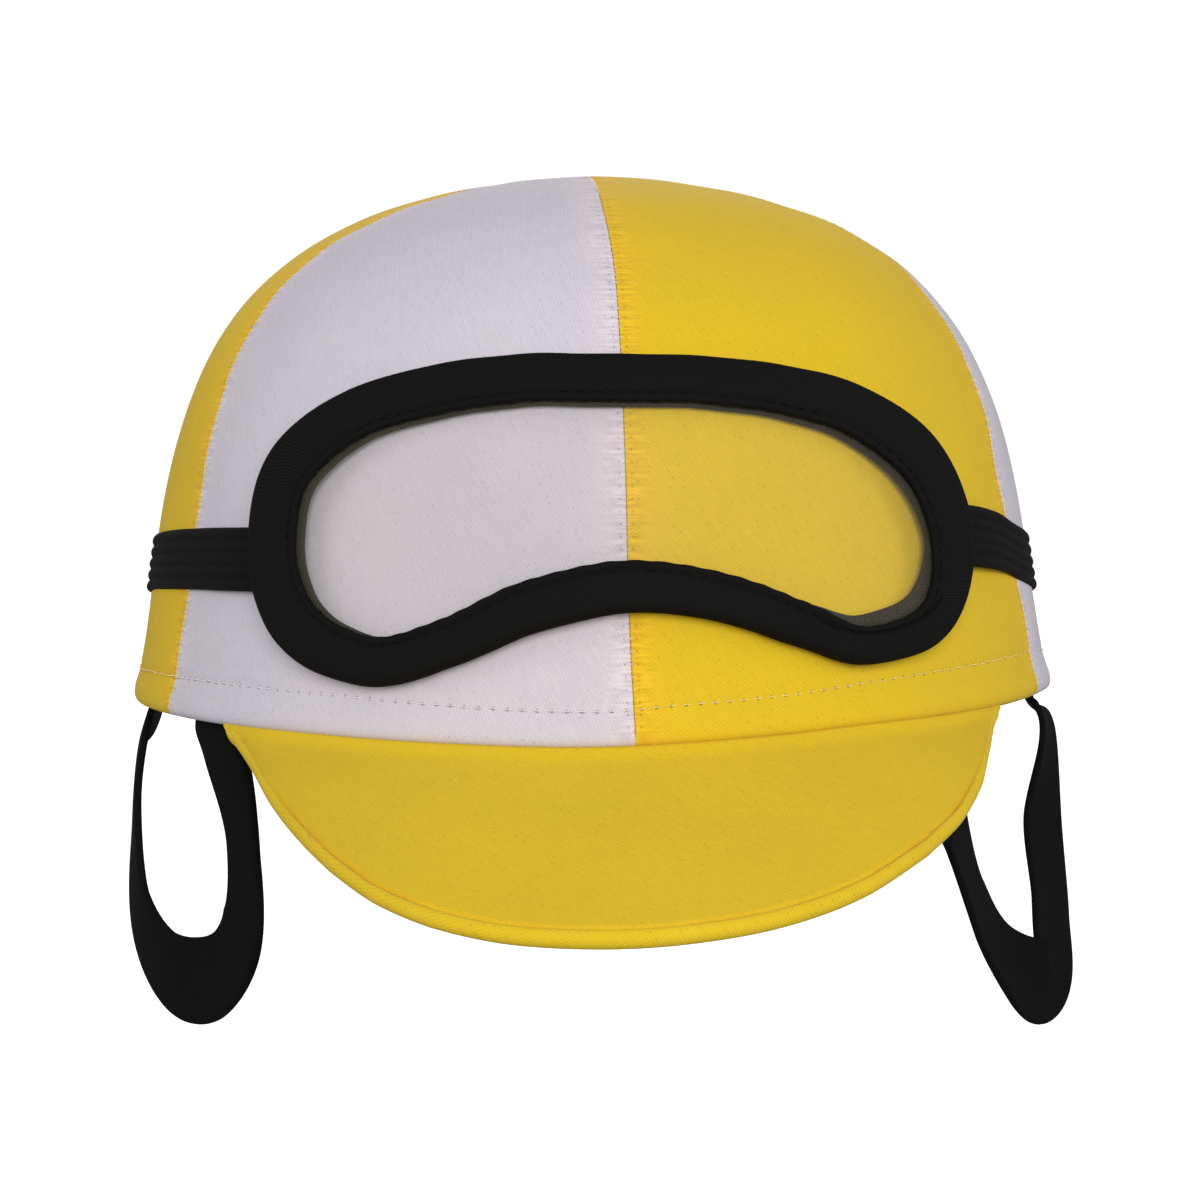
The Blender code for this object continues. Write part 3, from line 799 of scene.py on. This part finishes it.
Gore = namedtuple("Gore", "name start end material slot")
GORES = (
    Gore("gore_front_left", -SIDE_SEAM, FRONT_SEAM, WHITE, "white_cloth"),
    Gore("gore_front_right", FRONT_SEAM, SIDE_SEAM, YELLOW, "yellow_cloth"),
    Gore("gore_side_right", SIDE_SEAM, BACK_SIDE_SEAM, WHITE, "white_cloth"),
    Gore("gore_back_right", BACK_SIDE_SEAM, BACK_SEAM, YELLOW, "yellow_cloth"),
    Gore("gore_back_left", -BACK_SEAM, -BACK_SIDE_SEAM, WHITE, "white_cloth"),
    Gore("gore_side_left", -BACK_SIDE_SEAM, -SIDE_SEAM, YELLOW, "yellow_cloth"),
)


# Crown


def cloth_heights(first, step):
    """Heights from first to the apex, evenly spaced along the cloth, and the length passed at each."""
    apex = CROWN_HEIGHT * (1.0 - (APEX_RADIUS / HALF_WIDTH / (1.0 - SIDE_TAPER)) ** 2 / TOP_ROUNDNESS)
    heights = first + (apex - first) * np.sin(0.5 * pi * np.linspace(0.0, 1.0, 4000))
    heights[-1] = apex
    runs = np.hypot(np.diff(heights), HALF_DEPTH * np.diff(width_share(heights)))
    lengths = np.concatenate([[0.0], np.cumsum(runs)])
    wanted = np.linspace(0.0, lengths[-1], int(round(lengths[-1] / step)) + 1)
    return np.interp(wanted, lengths, heights), wanted


def seam_shares():
    """Places across a gore from 0 to 1, close together beside both seams."""
    near = np.array([0.0, 0.0006, 0.0014, 0.0025, 0.004, 0.006, 0.009, 0.013, 0.018, 0.025])
    middle = np.linspace(0.035, 0.965, 78)
    return np.concatenate([near, middle, 1.0 - near[::-1]])


def crown_relief(points, from_seam, along, height, hem_stitch, line):
    """How far the cloth's outside stands off the plain crown."""
    inside = np.clip(1.0 - from_seam / SEAM_ROLL, 0.0, 1.0)
    roll = SEAM_ROLL * (1.0 - np.sqrt(np.maximum(1.0 - inside**2, 0.0)))
    pucker = SEAM_PUCKER * np.cos(2.0 * pi * along / SEAM_STITCH) * np.exp(-from_seam / SEAM_PUCKER_REACH)
    ripple = RIPPLE * np.sin(2.0 * pi * along / RIPPLE_LENGTH + 3.0 * points[..., 0] / HALF_WIDTH)
    ripple = ripple * np.exp(-from_seam / RIPPLE_REACH)
    free = smooth_step(height / (12.0 * MM))
    bumps = UNEVENNESS * unevenness(points, UNEVENNESS_SIZE, 7) * free
    from_line = (height - line) / HEM_DIP_REACH
    dip = HEM_DIP * np.exp(-(from_line**2)) * (1.0 - 0.35 * np.cos(2.0 * pi * hem_stitch))
    pillow = HEM_PILLOW * np.exp(-(((height - HEM_PILLOW_HEIGHT) / HEM_PILLOW_REACH) ** 2))
    return pucker + ripple + bumps + pillow - roll - dip


def hem_line(azimuth):
    """The height of the hem's stitches, in metres."""
    return read_at(HEM_LINE, azimuth)[1] * MM


def hem_fold():
    """(height, outset) down round the folded edge of the hem, from its outside to its inside."""
    radius = 0.5 * HEM_THICKNESS
    turns = np.linspace(0.0, pi, 13)[1:-1]
    return radius - radius * np.sin(turns), radius * np.cos(turns) - radius


def gore_azimuths(gore, height, shares):
    """Azimuths at shares of the way across a gore, at its heights."""
    first = seam_azimuth(gore.start, height)
    last = seam_azimuth(gore.end, height)
    margin = 0.5 * SEAM_SLIT / side_speed(first, height)
    return first + margin + shares * (last - first - 2.0 * margin)


def make_gore(gore):
    outer, along = cloth_heights(0.5 * HEM_THICKNESS, ROW_STEP)
    inner, _ = cloth_heights(HEM_HEIGHT + 0.6 * MM, 3.0 * MM)
    step = np.array([8.3, 8.1, 7.9, 7.5, 6.5, 5.7, 5.2, 4.7, 4.0, 2.8, 1.5]) * MM
    step_outset = np.array([-2.1, -2.5, -2.85, -3.0, -3.0, -2.95, -2.8, -2.95, -3.0, -3.0, -3.0]) * MM
    fold, fold_outset = hem_fold()
    heights = np.concatenate([outer, inner[::-1], step, fold[::-1]])
    azimuths = gore_azimuths(gore, heights[:, None], seam_shares())
    plain, _, _ = crown_frame(azimuths, heights[:, None])
    across = run_length(plain, 1)
    from_seam = np.minimum(across, across[:, -1:] - across)
    hem_count = round(across[0, -1] / HEM_STITCH)
    hem_stitch = np.broadcast_to(seam_shares() * hem_count, azimuths.shape)
    along_all = np.concatenate([along, along[-1] * inner[::-1] / inner[-1], np.zeros(len(step) + len(fold))])
    outset = np.zeros_like(azimuths)
    shown = slice(0, len(outer))
    line = hem_line(azimuths)
    outset[shown] = crown_relief(
        plain[shown], from_seam[shown], along[:, None], outer[:, None], hem_stitch[shown], line[shown]
    )
    inside = slice(len(outer), len(outer) + len(inner))
    outset[inside] = -CLOTH
    outset[inside.stop : inside.stop + len(step)] = step_outset[:, None]
    outset[inside.stop + len(step) :] = fold_outset[::-1, None]
    points = crown_point(azimuths, heights[:, None], outset)
    closed = close_run(points, 0)
    lengths = run_length(closed[:, [closed.shape[1] // 2]], 0)
    side = np.concatenate([across, across[:1]]) - 0.5 * np.concatenate([across, across[:1]])[:, -1:]
    uv = np.stack([side, np.broadcast_to(lengths, side.shape)], -1)
    facts = {
        "from_seam": from_seam,
        "seam_stitch": (along_all / SEAM_STITCH)[:, None],
        "hem_stitch": hem_stitch,
        "from_hem_line": heights[:, None] - line,
    }
    piece = add_piece(gore.name + "_cloth", points, uv, gore.material, closed_rows=True, facts=facts)
    place(piece, gore.slot, gore.name)
    add_hem_stitches(gore, hem_count)
    add_allowances(gore)


def add_hem_stitches(gore, count):
    """Topstitching above the hem's edge, outside and inside: cream on yellow cloth, white on white."""
    numbers = np.arange(count)
    source = np.random.default_rng(len(gore.name))
    for side, outset, sign, highest in (
        ("outside", -0.6 * HEM_DIP, 1.0, HEM_HEIGHT + 1.0 * MM),
        ("inside", -HEM_THICKNESS + 0.1 * MM, -1.0, HEM_HEIGHT - 0.8 * MM),
    ):
        shift = 0.5 if sign > 0.0 else 0.0
        ends = []
        for edge in (-0.5, 0.5):
            share = (numbers + shift + edge * HEM_STITCH_SHOWN) / count
            wobble = source.normal(0.0, 0.06 * MM, count)
            azimuth = gore_azimuths(gore, 0.0 * share, share)
            line = np.minimum(hem_line(azimuth), highest)
            ends.append(crown_point(azimuth, line + wobble, outset))
        middle = gore_azimuths(gore, 0.0 * numbers, (numbers + shift) / count)
        _, outward, _ = crown_frame(middle, hem_line(middle))
        name = "topstitch_" + side + "_" + gore.name.removeprefix("gore_")
        thread = CREAM_THREAD if gore.slot == "yellow_cloth" else WHITE_THREAD
        place(add_threads(name, ends[0], ends[1], sign * outward, THREAD_RADIUS, thread), gore.slot)


def add_seam_stitches(seam, number):
    """Small threads that show in the seam, one for each stitch."""
    heights, along = cloth_heights(9.0 * MM, 0.1 * MM)
    wanted = np.arange(0.5 * SEAM_STITCH, along[-1] - 3.0 * MM, SEAM_STITCH)
    height = np.interp(wanted, along, heights)
    points, outward, sideways = crown_frame(seam_azimuth(seam, height), height)
    source = np.random.default_rng(number)
    lean = source.uniform(-0.15, 0.15, len(height))[:, None] * MM * np.cross(outward, sideways)
    bottom = points - outward * 0.28 * MM
    starts = bottom - sideways * 0.42 * MM - lean
    ends = bottom + sideways * 0.3 * MM + lean
    name = "seam_stitches_" + str(number)
    place(add_threads(name, starts, ends, outward, 0.11 * MM, WHITE_THREAD, 0.1 * MM), "white_cloth")


def add_allowances(gore):
    """The cloth turned in at both seams, pressed flat against the inside of the crown."""
    heights, along = cloth_heights(HEM_HEIGHT + 0.8 * MM, 1.0 * MM)
    keep = along < along[-1] - 7.0 * MM
    heights, along = heights[keep], along[keep]
    width = ALLOWANCE_WIDTH
    middle = 0.5 * width
    near = 0.1 * MM
    section = ((near, 0.05), (middle, 0.0), (width, 0.1), (width, 1.0), (middle, 1.15), (near, 1.0))
    for edge, way, word in ((gore.start, 1.0, "start"), (gore.end, -1.0, "end")):
        wave = ALLOWANCE_WAVE * np.sin(along / (7.0 * MM) + gore.start)
        rings = []
        for offset, depth in section:
            free = offset / width
            distance = offset + 0.35 * MM * free * np.sin(along / (4.5 * MM) + gore.end)
            azimuth = seam_azimuth(edge, heights) + way * distance / side_speed(edge, heights)
            inset = CLOTH + 0.05 * MM + depth * ALLOWANCE_THICKNESS + free * np.abs(wave)
            rings.append(crown_point(azimuth, heights, -inset))
        points = np.stack(rings, 1)
        points = points[:, ::-1] if way > 0.0 else points
        uv = strip_uv(points, along)[..., ::-1]
        name = "allowance_" + gore.name.removeprefix("gore_") + "_" + word
        facts = {"from_seam": 1.0, "seam_stitch": 0.0, "hem_stitch": 0.0, "from_hem_line": 1.0}
        piece = add_piece(name, points, uv, gore.material, closed_columns=True, facts=facts)
        place(piece, gore.slot)


# Peak


def peak_directions(azimuths):
    """The peak's way forward, and its way up at each azimuth."""
    forward = np.array([0.0, -cos(PEAK_SLOPE), -sin(PEAK_SLOPE)])
    _, _, sideways = crown_frame(azimuths, 0.0 * azimuths)
    upward = unit(np.cross(forward, sideways))
    upward = upward * np.where(upward[:, 2:] < 0.0, -1.0, 1.0)
    return forward, upward


def make_peak():
    azimuths = np.linspace(PEAK_OUTLINE[0].azimuth_deg, PEAK_OUTLINE[-1].azimuth_deg, PEAK_COLUMNS)
    flat = 0.0 * azimuths
    reach = peak_reach(azimuths) + PEAK_OVERHANG
    forward, upward = peak_directions(azimuths)
    roots = crown_point(azimuths, flat, flat - 0.5 * HEM_THICKNESS) + np.array([0.0, 0.0, -GAP])
    tips = roots + forward * reach[:, None]
    tangents = unit(np.gradient(tips, axis=0))
    slant = np.clip(np.linalg.norm(np.cross(tangents, forward), axis=-1), 0.35, 1.0)
    radius = 0.5 * PEAK_THICKNESS
    turn_run = np.minimum(radius / slant, 0.6 * reach)
    straight = reach - turn_run

    def surface(share, level, bulge, root_rise=0.0):
        distance = straight * share
        droop = PEAK_DROOP * (distance / PEAK_DROOP_REACH) ** 2
        rise = root_rise * np.exp(-((distance / PEAK_ROOT_REACH) ** 2))
        points = roots + forward * distance[:, None] - upward * (droop + level - rise)[:, None]
        uneven = PEAK_UNEVENNESS * unevenness(points, 26.0 * MM, 11) * bulge
        return points + upward * uneven[:, None]

    shares = 1.0 - (1.0 - np.linspace(0.0, 1.0, PEAK_ROWS)) ** 1.6
    from_rim = (reach - straight * shares[:, None]) * slant
    firm = smooth_step((reach - PEAK_PLAIN_REACH) / PEAK_PLAIN_REACH)
    seam_dip = firm * PEAK_RIM_DIP * np.exp(-(((from_rim - PEAK_RIM_SEAM) / PEAK_RIM_DIP_REACH) ** 2))
    lip = PEAK_LIP * np.exp(-(((from_rim - PEAK_RIM_SEAM * 0.45) / (0.6 * MM)) ** 2))
    bulges = np.sin(pi * shares)
    top = [
        surface(share, dip - rise, bulge, PEAK_ROOT_RISE)
        for share, dip, rise, bulge in zip(shares, seam_dip, lip, bulges)
    ]
    bottom = [surface(share, flat + PEAK_THICKNESS, bulge) for share, bulge in zip(shares[::4], bulges[::4])]
    rim = []
    for turn in np.linspace(0.0, pi, 13)[1:-1]:
        middle = surface(1.0, flat + radius, 0.0)
        swing = forward * (turn_run * sin(turn))[:, None] - upward * radius * cos(turn)
        rim.append(middle + swing)
    down = np.array([0.0, 0.0, -GAP])
    foot = np.array([0.0, 0.0, -PEAK_FLANGE_FOOT])
    outside = -HEM_THICKNESS - GAP
    inside = outside - PEAK_FLANGE_THICKNESS
    top_edge = PEAK_FLANGE_HEIGHT
    section = (
        (0.5 * top_edge, outside),
        (top_edge - 0.2 * MM, outside),
        (top_edge, outside - 0.3 * MM),
        (top_edge, inside + 0.3 * MM),
        (top_edge - 0.2 * MM, inside),
        (0.5 * top_edge, inside),
    )
    flange = [crown_point(azimuths, flat + height, flat + outset) for height, outset in section]
    flange.insert(0, crown_point(azimuths, flat, flat + outside) + down)
    flange.append(crown_point(azimuths, flat, flat + inside) + down + foot)
    points = np.stack(bottom + rim + top[::-1] + flange)
    closed = close_run(points, 0)
    lengths = run_length(closed[:, [PEAK_COLUMNS // 2]], 0)
    lengths = np.broadcast_to(lengths, closed.shape[:2])
    uv = np.stack([np.broadcast_to(roots[:, 0], closed.shape[:2]), lengths], -1)
    near = np.full(points.shape[:2], 1.0)
    top_rows = slice(len(bottom) + len(rim), len(bottom) + len(rim) + len(top))
    # The rim seam takes the peak cloth's darker seam tone: partly the doubled cloth, partly painted shade
    # where the cover rolls over the rim
    beside = PEAK_SEAM_TONE_AND_SHADE * np.abs(from_rim - PEAK_RIM_SEAM) + (1.0 - firm) * SEAM_TONE_AND_LIGHT_REACH
    near[top_rows] = beside[::-1]
    piece = add_piece("peak_cover", points, uv, YELLOW_PEAK, closed_rows=True, facts={"from_seam": near})
    place(piece, "yellow_cloth", "peak")


# Goggles


def goggle_outset(azimuth):
    share = (np.abs(azimuth) - GOGGLE_LIFT_START) / GOGGLE_LIFT_SPAN
    return GOGGLE_CLEARANCE + GOGGLE_LIFT * np.clip(share, 0.0, 1.0) ** GOGGLE_LIFT_CURVE


def binding_stations():
    """Columns for each station: azimuth, height, width and the direction away from the film."""
    azimuth, height, width = smooth_rows(BINDING_OUTLINE, BINDING_STATIONS, True)
    height = height * MM
    side = (np.roll(azimuth, -1) - np.roll(azimuth, 1)) * side_speed(azimuth, height)
    rise = np.roll(height, -1) - np.roll(height, 1)
    length = np.hypot(side, rise)
    return azimuth, height, width * MM, -rise / length, side / length


def goggle_points(away, lift):
    """Points beside the stations, a distance away from the film and a lift off the goggles' inner face."""
    azimuth, height, _, away_side, away_up = (column[:, None] for column in binding_stations())
    turned = azimuth + away * away_side / side_speed(azimuth, height)
    return crown_point(turned, height + away * away_up, goggle_outset(turned) + lift)


def make_binding():
    _, _, width, _, _ = binding_stations()
    half = 0.5 * width[:, None]
    side, offset, lift, turned_in, lip = (np.array(column) for column in zip(*BINDING_SECTION))
    hidden, shown = smooth_rows(BINDING_EDGES, BINDING_STATIONS, True)[..., None] * MM
    away = side * half + offset * MM - turned_in * hidden + lip * shown
    plain = goggle_points(0.0 * half, 0.0 * half)
    along = run_length(close_run(plain, 0), 0)[:, 0]
    front = lift / 2.95
    gather = BINDING_GATHER * np.sin(2.0 * pi * along[:-1, None] / (3.7 * MM)) * (side < 0.0)
    wave = 0.08 * MM * unevenness(plain, 15.0 * MM, 3) * front
    away = away + gather * front + 0.06 * MM * unevenness(plain, 9.0 * MM, 5) * (np.abs(side) >= 1.0)
    points = goggle_points(away, lift * MM + wave)
    uv = strip_uv(points, along)
    piece = add_piece("binding_folded_tape", points, uv, BINDING_TAPE, closed_rows=True, closed_columns=True)
    place(piece, "binding_tape", "goggle_binding")
    add_binding_stitches(along, half - shown)


def add_binding_stitches(along, half):
    count = int(along[-1] / BINDING_STITCH)
    pitch = along[-1] / count
    line = goggle_points(-half + BINDING_STITCH_INSET, 0.0 * half + 2.62 * MM)[:, 0]
    under = goggle_points(-half + BINDING_STITCH_INSET, 0.0 * half)[:, 0]
    line = close_run(line, 0)
    lifts = close_run(unit(line[:-1] - under), 0)

    def at(distances):
        spots = [np.interp(distances % along[-1], along, line[:, axis]) for axis in range(3)]
        ways = [np.interp(distances % along[-1], along, lifts[:, axis]) for axis in range(3)]
        return np.stack(spots, -1), unit(np.stack(ways, -1))

    starts, ways = at(np.arange(count) * pitch)
    ends, _ = at((np.arange(count) + 0.72) * pitch)
    piece = add_threads("binding_stitches", starts, ends, ways, 0.14 * MM, BLACK_THREAD)
    place(piece, "binding_tape")


def make_lens():
    azimuth, height, width, away_side, away_up = binding_stations()
    away = LENS_TUCK - 0.5 * width
    edge_azimuth = azimuth + away * away_side / side_speed(azimuth, height)
    edge_height = height + away * away_up
    columns, rows = 110, 24
    left, right = edge_azimuth.min(), edge_azimuth.max()
    shares = 0.5 - 0.5 * np.cos(pi * np.linspace(0.02, 0.98, columns))
    turns = left + (right - left) * shares
    limits = []
    for turn in turns:
        after = np.roll(edge_azimuth, -1)
        passed = (edge_azimuth - turn) * (after - turn) <= 0.0
        limits.append((edge_height[passed].min(), edge_height[passed].max()))
    low, high = np.array(limits).T
    heights = low + (high - low) * np.linspace(0.0, 1.0, rows)[:, None]
    plain = crown_point(turns + 0.0 * heights, heights, 0.0 * heights)
    middle = goggle_outset(turns) + 0.5 * BINDING_THICKNESS + LENS_WAVE * unevenness(plain, 18.0 * MM, 21)
    front = crown_point(turns + 0.0 * heights, heights, middle + 0.5 * LENS_THICKNESS)
    back = crown_point(turns + 0.0 * heights, heights, middle - 0.5 * LENS_THICKNESS)
    points = np.concatenate([front, back[::-1]])
    closed = close_run(points, 0)
    uv = np.stack([closed[..., 0], closed[..., 2]], -1)
    piece = add_piece("goggle_film", points, uv, FILM, closed_rows=True)
    place(piece, "clear_film", "goggle_lens")


# Strap


def strap_outset(azimuth):
    share = (STRAP_LANDING - np.abs(azimuth)) / (STRAP_LANDING - STRAP_TAKE_OFF)
    under = goggle_outset(azimuth) - GAP - STRAP_THICKNESS
    highest = goggle_outset(STRAP_TAKE_OFF) - GAP - STRAP_THICKNESS
    lifted = STRAP_CLEARANCE + (highest - STRAP_CLEARANCE) * smooth_step(share)
    return np.where(np.abs(azimuth) < STRAP_TAKE_OFF, np.minimum(under, lifted), lifted)


def make_strap():
    azimuth, height = smooth_rows(STRAP_LINE, STRAP_STATIONS, False)
    turned = np.where(azimuth <= 180.0, azimuth, azimuth - 360.0)
    half = 0.5 * STRAP_WIDTH
    across = np.linspace(-1.0, 1.0, 41)
    ribs = STRAP_RIB_DEPTH * np.abs(np.sin(0.5 * pi * (across + 1.0) * STRAP_RIBS))
    edge = np.clip((1.0 - np.abs(across)) * half / (0.35 * MM), 0.0, 1.0)
    front = (STRAP_THICKNESS - STRAP_RIB_DEPTH + ribs) * (0.35 + 0.65 * np.sqrt(edge))
    back_across = np.linspace(1.0, -1.0, 9)[1:-1]
    sides = np.concatenate([back_across[::-1], across[::-1]])
    lifts = np.concatenate([0.0 * back_across, front[::-1]])
    centre = crown_point(turned, height * MM, 0.0 * height)
    sway = STRAP_SWAY * unevenness(centre, 40.0 * MM, 31)
    outset = strap_outset(turned)[:, None] + lifts - STRAP_SUNK
    heights = height[:, None] * MM + sides * half + sway[:, None]
    points = crown_point(np.broadcast_to(turned[:, None], heights.shape), heights, outset)
    along = run_length(centre, 0)
    uv = strip_uv(points, along)
    piece = add_piece("strap_ribbed_elastic", points, uv, ELASTIC, closed_columns=True)
    place(piece, "strap_elastic", "goggle_strap")


# Chin loops


def loop_end(azimuth, height):
    """A row of a chin loop where it is sewn flat inside the hem, or inside the peak's flange."""
    inset = HEM_THICKNESS + GAP + LOOP_SEAT + 0.5 * LOOP_THICKNESS
    if PEAK_OUTLINE[0].azimuth_deg < azimuth < PEAK_OUTLINE[-1].azimuth_deg:
        inset += PEAK_FLANGE_THICKNESS + GAP
    point = crown_point(azimuth, height, -inset) / MM
    _, _, sideways = crown_frame(azimuth, 0.0)
    if sideways[1] < 0.0:
        sideways = -sideways
    return (*point, np.degrees(np.arctan2(sideways[0], sideways[1])))


def make_loop(name, table, ends):
    front = [loop_end(ends[0], height) for height in (LOOP_SEWN_TOP, LOOP_SEWN_FOOT)]
    back = [loop_end(ends[1], height) for height in (LOOP_SEWN_FOOT, LOOP_SEWN_TOP)]
    rows = front + [tuple(row) for row in table] + back
    across_mm, depth_mm, height_mm, turn = smooth_rows(rows, LOOP_STATIONS, False)
    middles = np.stack([across_mm, depth_mm, height_mm], -1) * MM
    along = unit(np.gradient(middles, axis=0))
    face = np.stack([np.cos(np.radians(turn)), -np.sin(np.radians(turn)), 0.0 * turn], -1)
    across = unit(np.cross(face, along))
    depth = unit(np.cross(along, across))
    half = 0.5 * LOOP_WIDTH
    edge = 0.5 * LOOP_THICKNESS
    spread = np.linspace(-1.0, 1.0, 13)
    tips = 0.3 * MM
    front_side = [(value * (half - tips), -edge) for value in spread]
    rounding = [(half - 0.08 * MM, -0.6 * edge), (half, 0.0), (half - 0.08 * MM, 0.6 * edge)]
    back_side = [(-value, -lift) for value, lift in front_side]
    ring = front_side + rounding + back_side + [(-value, -lift) for value, lift in rounding]
    wide = np.array([value for value, _ in ring])
    thick = np.array([lift for _, lift in ring])
    cup = LOOP_CUP * (wide / half) ** 2
    length = run_length(middles, 0)
    waver = LOOP_WAVER * np.sin(length / (9.0 * MM))[:, None] * np.sign(wide)
    points = middles[:, None] + across[:, None] * (wide + waver)[..., None]
    points = points + depth[:, None] * (thick + cup)[:, None]
    uv = strip_uv(points, length)
    piece = add_piece(name + "_tape", points, uv, LOOP_TAPE, closed_columns=True)
    place(piece, "loop_tape", name)


# Studio


def make_floor():
    side = 30.0
    level = -1.2
    floor = Finish("studio_floor", 0.9)
    grain = floor.noise(floor.node("TexCoord", {}).outputs["Object"], 3.0, 2.0)
    tone = floor.mix(grain, (0.88, 0.88, 0.88, 1.0), (0.92, 0.92, 0.92, 1.0))
    floor.feed(floor.surface.inputs["Base Color"], tone)
    floor.surface.inputs["Emission Color"].default_value = (1.0, 1.0, 1.0, 1.0)
    floor.surface.inputs["Emission Strength"].default_value = 1.0
    steps = np.linspace(-side, side, 5)
    across, depth = np.meshgrid(steps, steps)
    points = np.stack([across, depth, np.full_like(across, level)], -1)
    stage = add_piece("studio_floor", points, points[..., :2], floor.material)
    stage.visible_diffuse = False
    stage.visible_glossy = False


def make_world():
    """An even pale room, seen as plain white behind the cap."""
    world = bpy.data.worlds.new("studio")
    world.use_nodes = True
    nodes, links = world.node_tree.nodes, world.node_tree.links
    room = nodes["Background"]
    room.inputs["Color"].default_value = (0.97, 0.98, 1.0, 1.0)
    room.inputs["Strength"].default_value = 0.36
    backdrop = nodes.new("ShaderNodeBackground")
    backdrop.inputs["Strength"].default_value = 1.05
    backdrop.inputs["Color"].default_value = (1.0, 1.0, 1.0, 1.0)
    path = nodes.new("ShaderNodeLightPath")
    choice = nodes.new("ShaderNodeMixShader")
    links.new(path.outputs["Is Camera Ray"], choice.inputs[0])
    links.new(room.outputs[0], choice.inputs[1])
    links.new(backdrop.outputs[0], choice.inputs[2])
    links.new(choice.outputs[0], nodes["World Output"].inputs["Surface"])
    bpy.context.scene.world = world


def add_light(name, place_at, target, size, power):
    light = bpy.data.lights.new(name, "AREA")
    light.shape = "DISK"
    light.size = size
    light.energy = power
    lamp = bpy.data.objects.new(name, light)
    lamp.location = place_at
    lamp.rotation_mode = "QUATERNION"
    lamp.rotation_quaternion = (Vector(target) - Vector(place_at)).to_track_quat("-Z", "Y")
    lamp.visible_camera = False
    bpy.context.scene.collection.objects.link(lamp)


def make_camera():
    level = cos(CAMERA_DOWN)
    forward = -Vector((sin(CAMERA_YAW) * level, -cos(CAMERA_YAW) * level, sin(CAMERA_DOWN)))
    level_right = forward.cross(Vector((0.0, 0.0, 1.0))).normalized()
    level_up = level_right.cross(forward)
    right = level_right * cos(CAMERA_ROLL) + level_up * sin(CAMERA_ROLL)
    up = level_up * cos(CAMERA_ROLL) - level_right * sin(CAMERA_ROLL)
    data = bpy.data.cameras.new("camera")
    data.lens = CAMERA_LENS
    data.sensor_width = 36.0
    data.clip_start = 0.01
    data.clip_end = 100.0
    camera = bpy.data.objects.new("camera", data)
    turned = Matrix((right, up, -forward)).transposed().to_4x4()
    camera.matrix_world = Matrix.Translation(CAMERA_PLACE) @ turned
    bpy.context.scene.collection.objects.link(camera)
    bpy.context.scene.camera = camera


def main():
    make_camera()
    make_world()
    make_floor()
    add_light("front", (0.04, -1.4, 0.4), (0.0, 0.0, 0.03), 0.9, 15.5)
    add_light("left", (-1.4, -0.35, 0.5), (0.0, 0.0, 0.02), 0.9, 5.0)
    add_light("right", (1.4, -0.35, 0.5), (0.0, 0.0, 0.02), 0.9, 5.0)
    add_light("back", (0.0, 1.4, 0.7), (0.0, 0.0, 0.02), 1.0, 9.0)
    for gore in GORES:
        make_gore(gore)
    for number, gore in enumerate(GORES):
        add_seam_stitches(gore.start, number)
    make_peak()
    make_binding()
    make_lens()
    make_strap()
    make_loop("chin_loop_left", LOOP_LEFT, LOOP_LEFT_ENDS)
    make_loop("chin_loop_right", LOOP_RIGHT, LOOP_RIGHT_ENDS)
    bpy.context.scene.view_settings.view_transform = "Standard"


main()
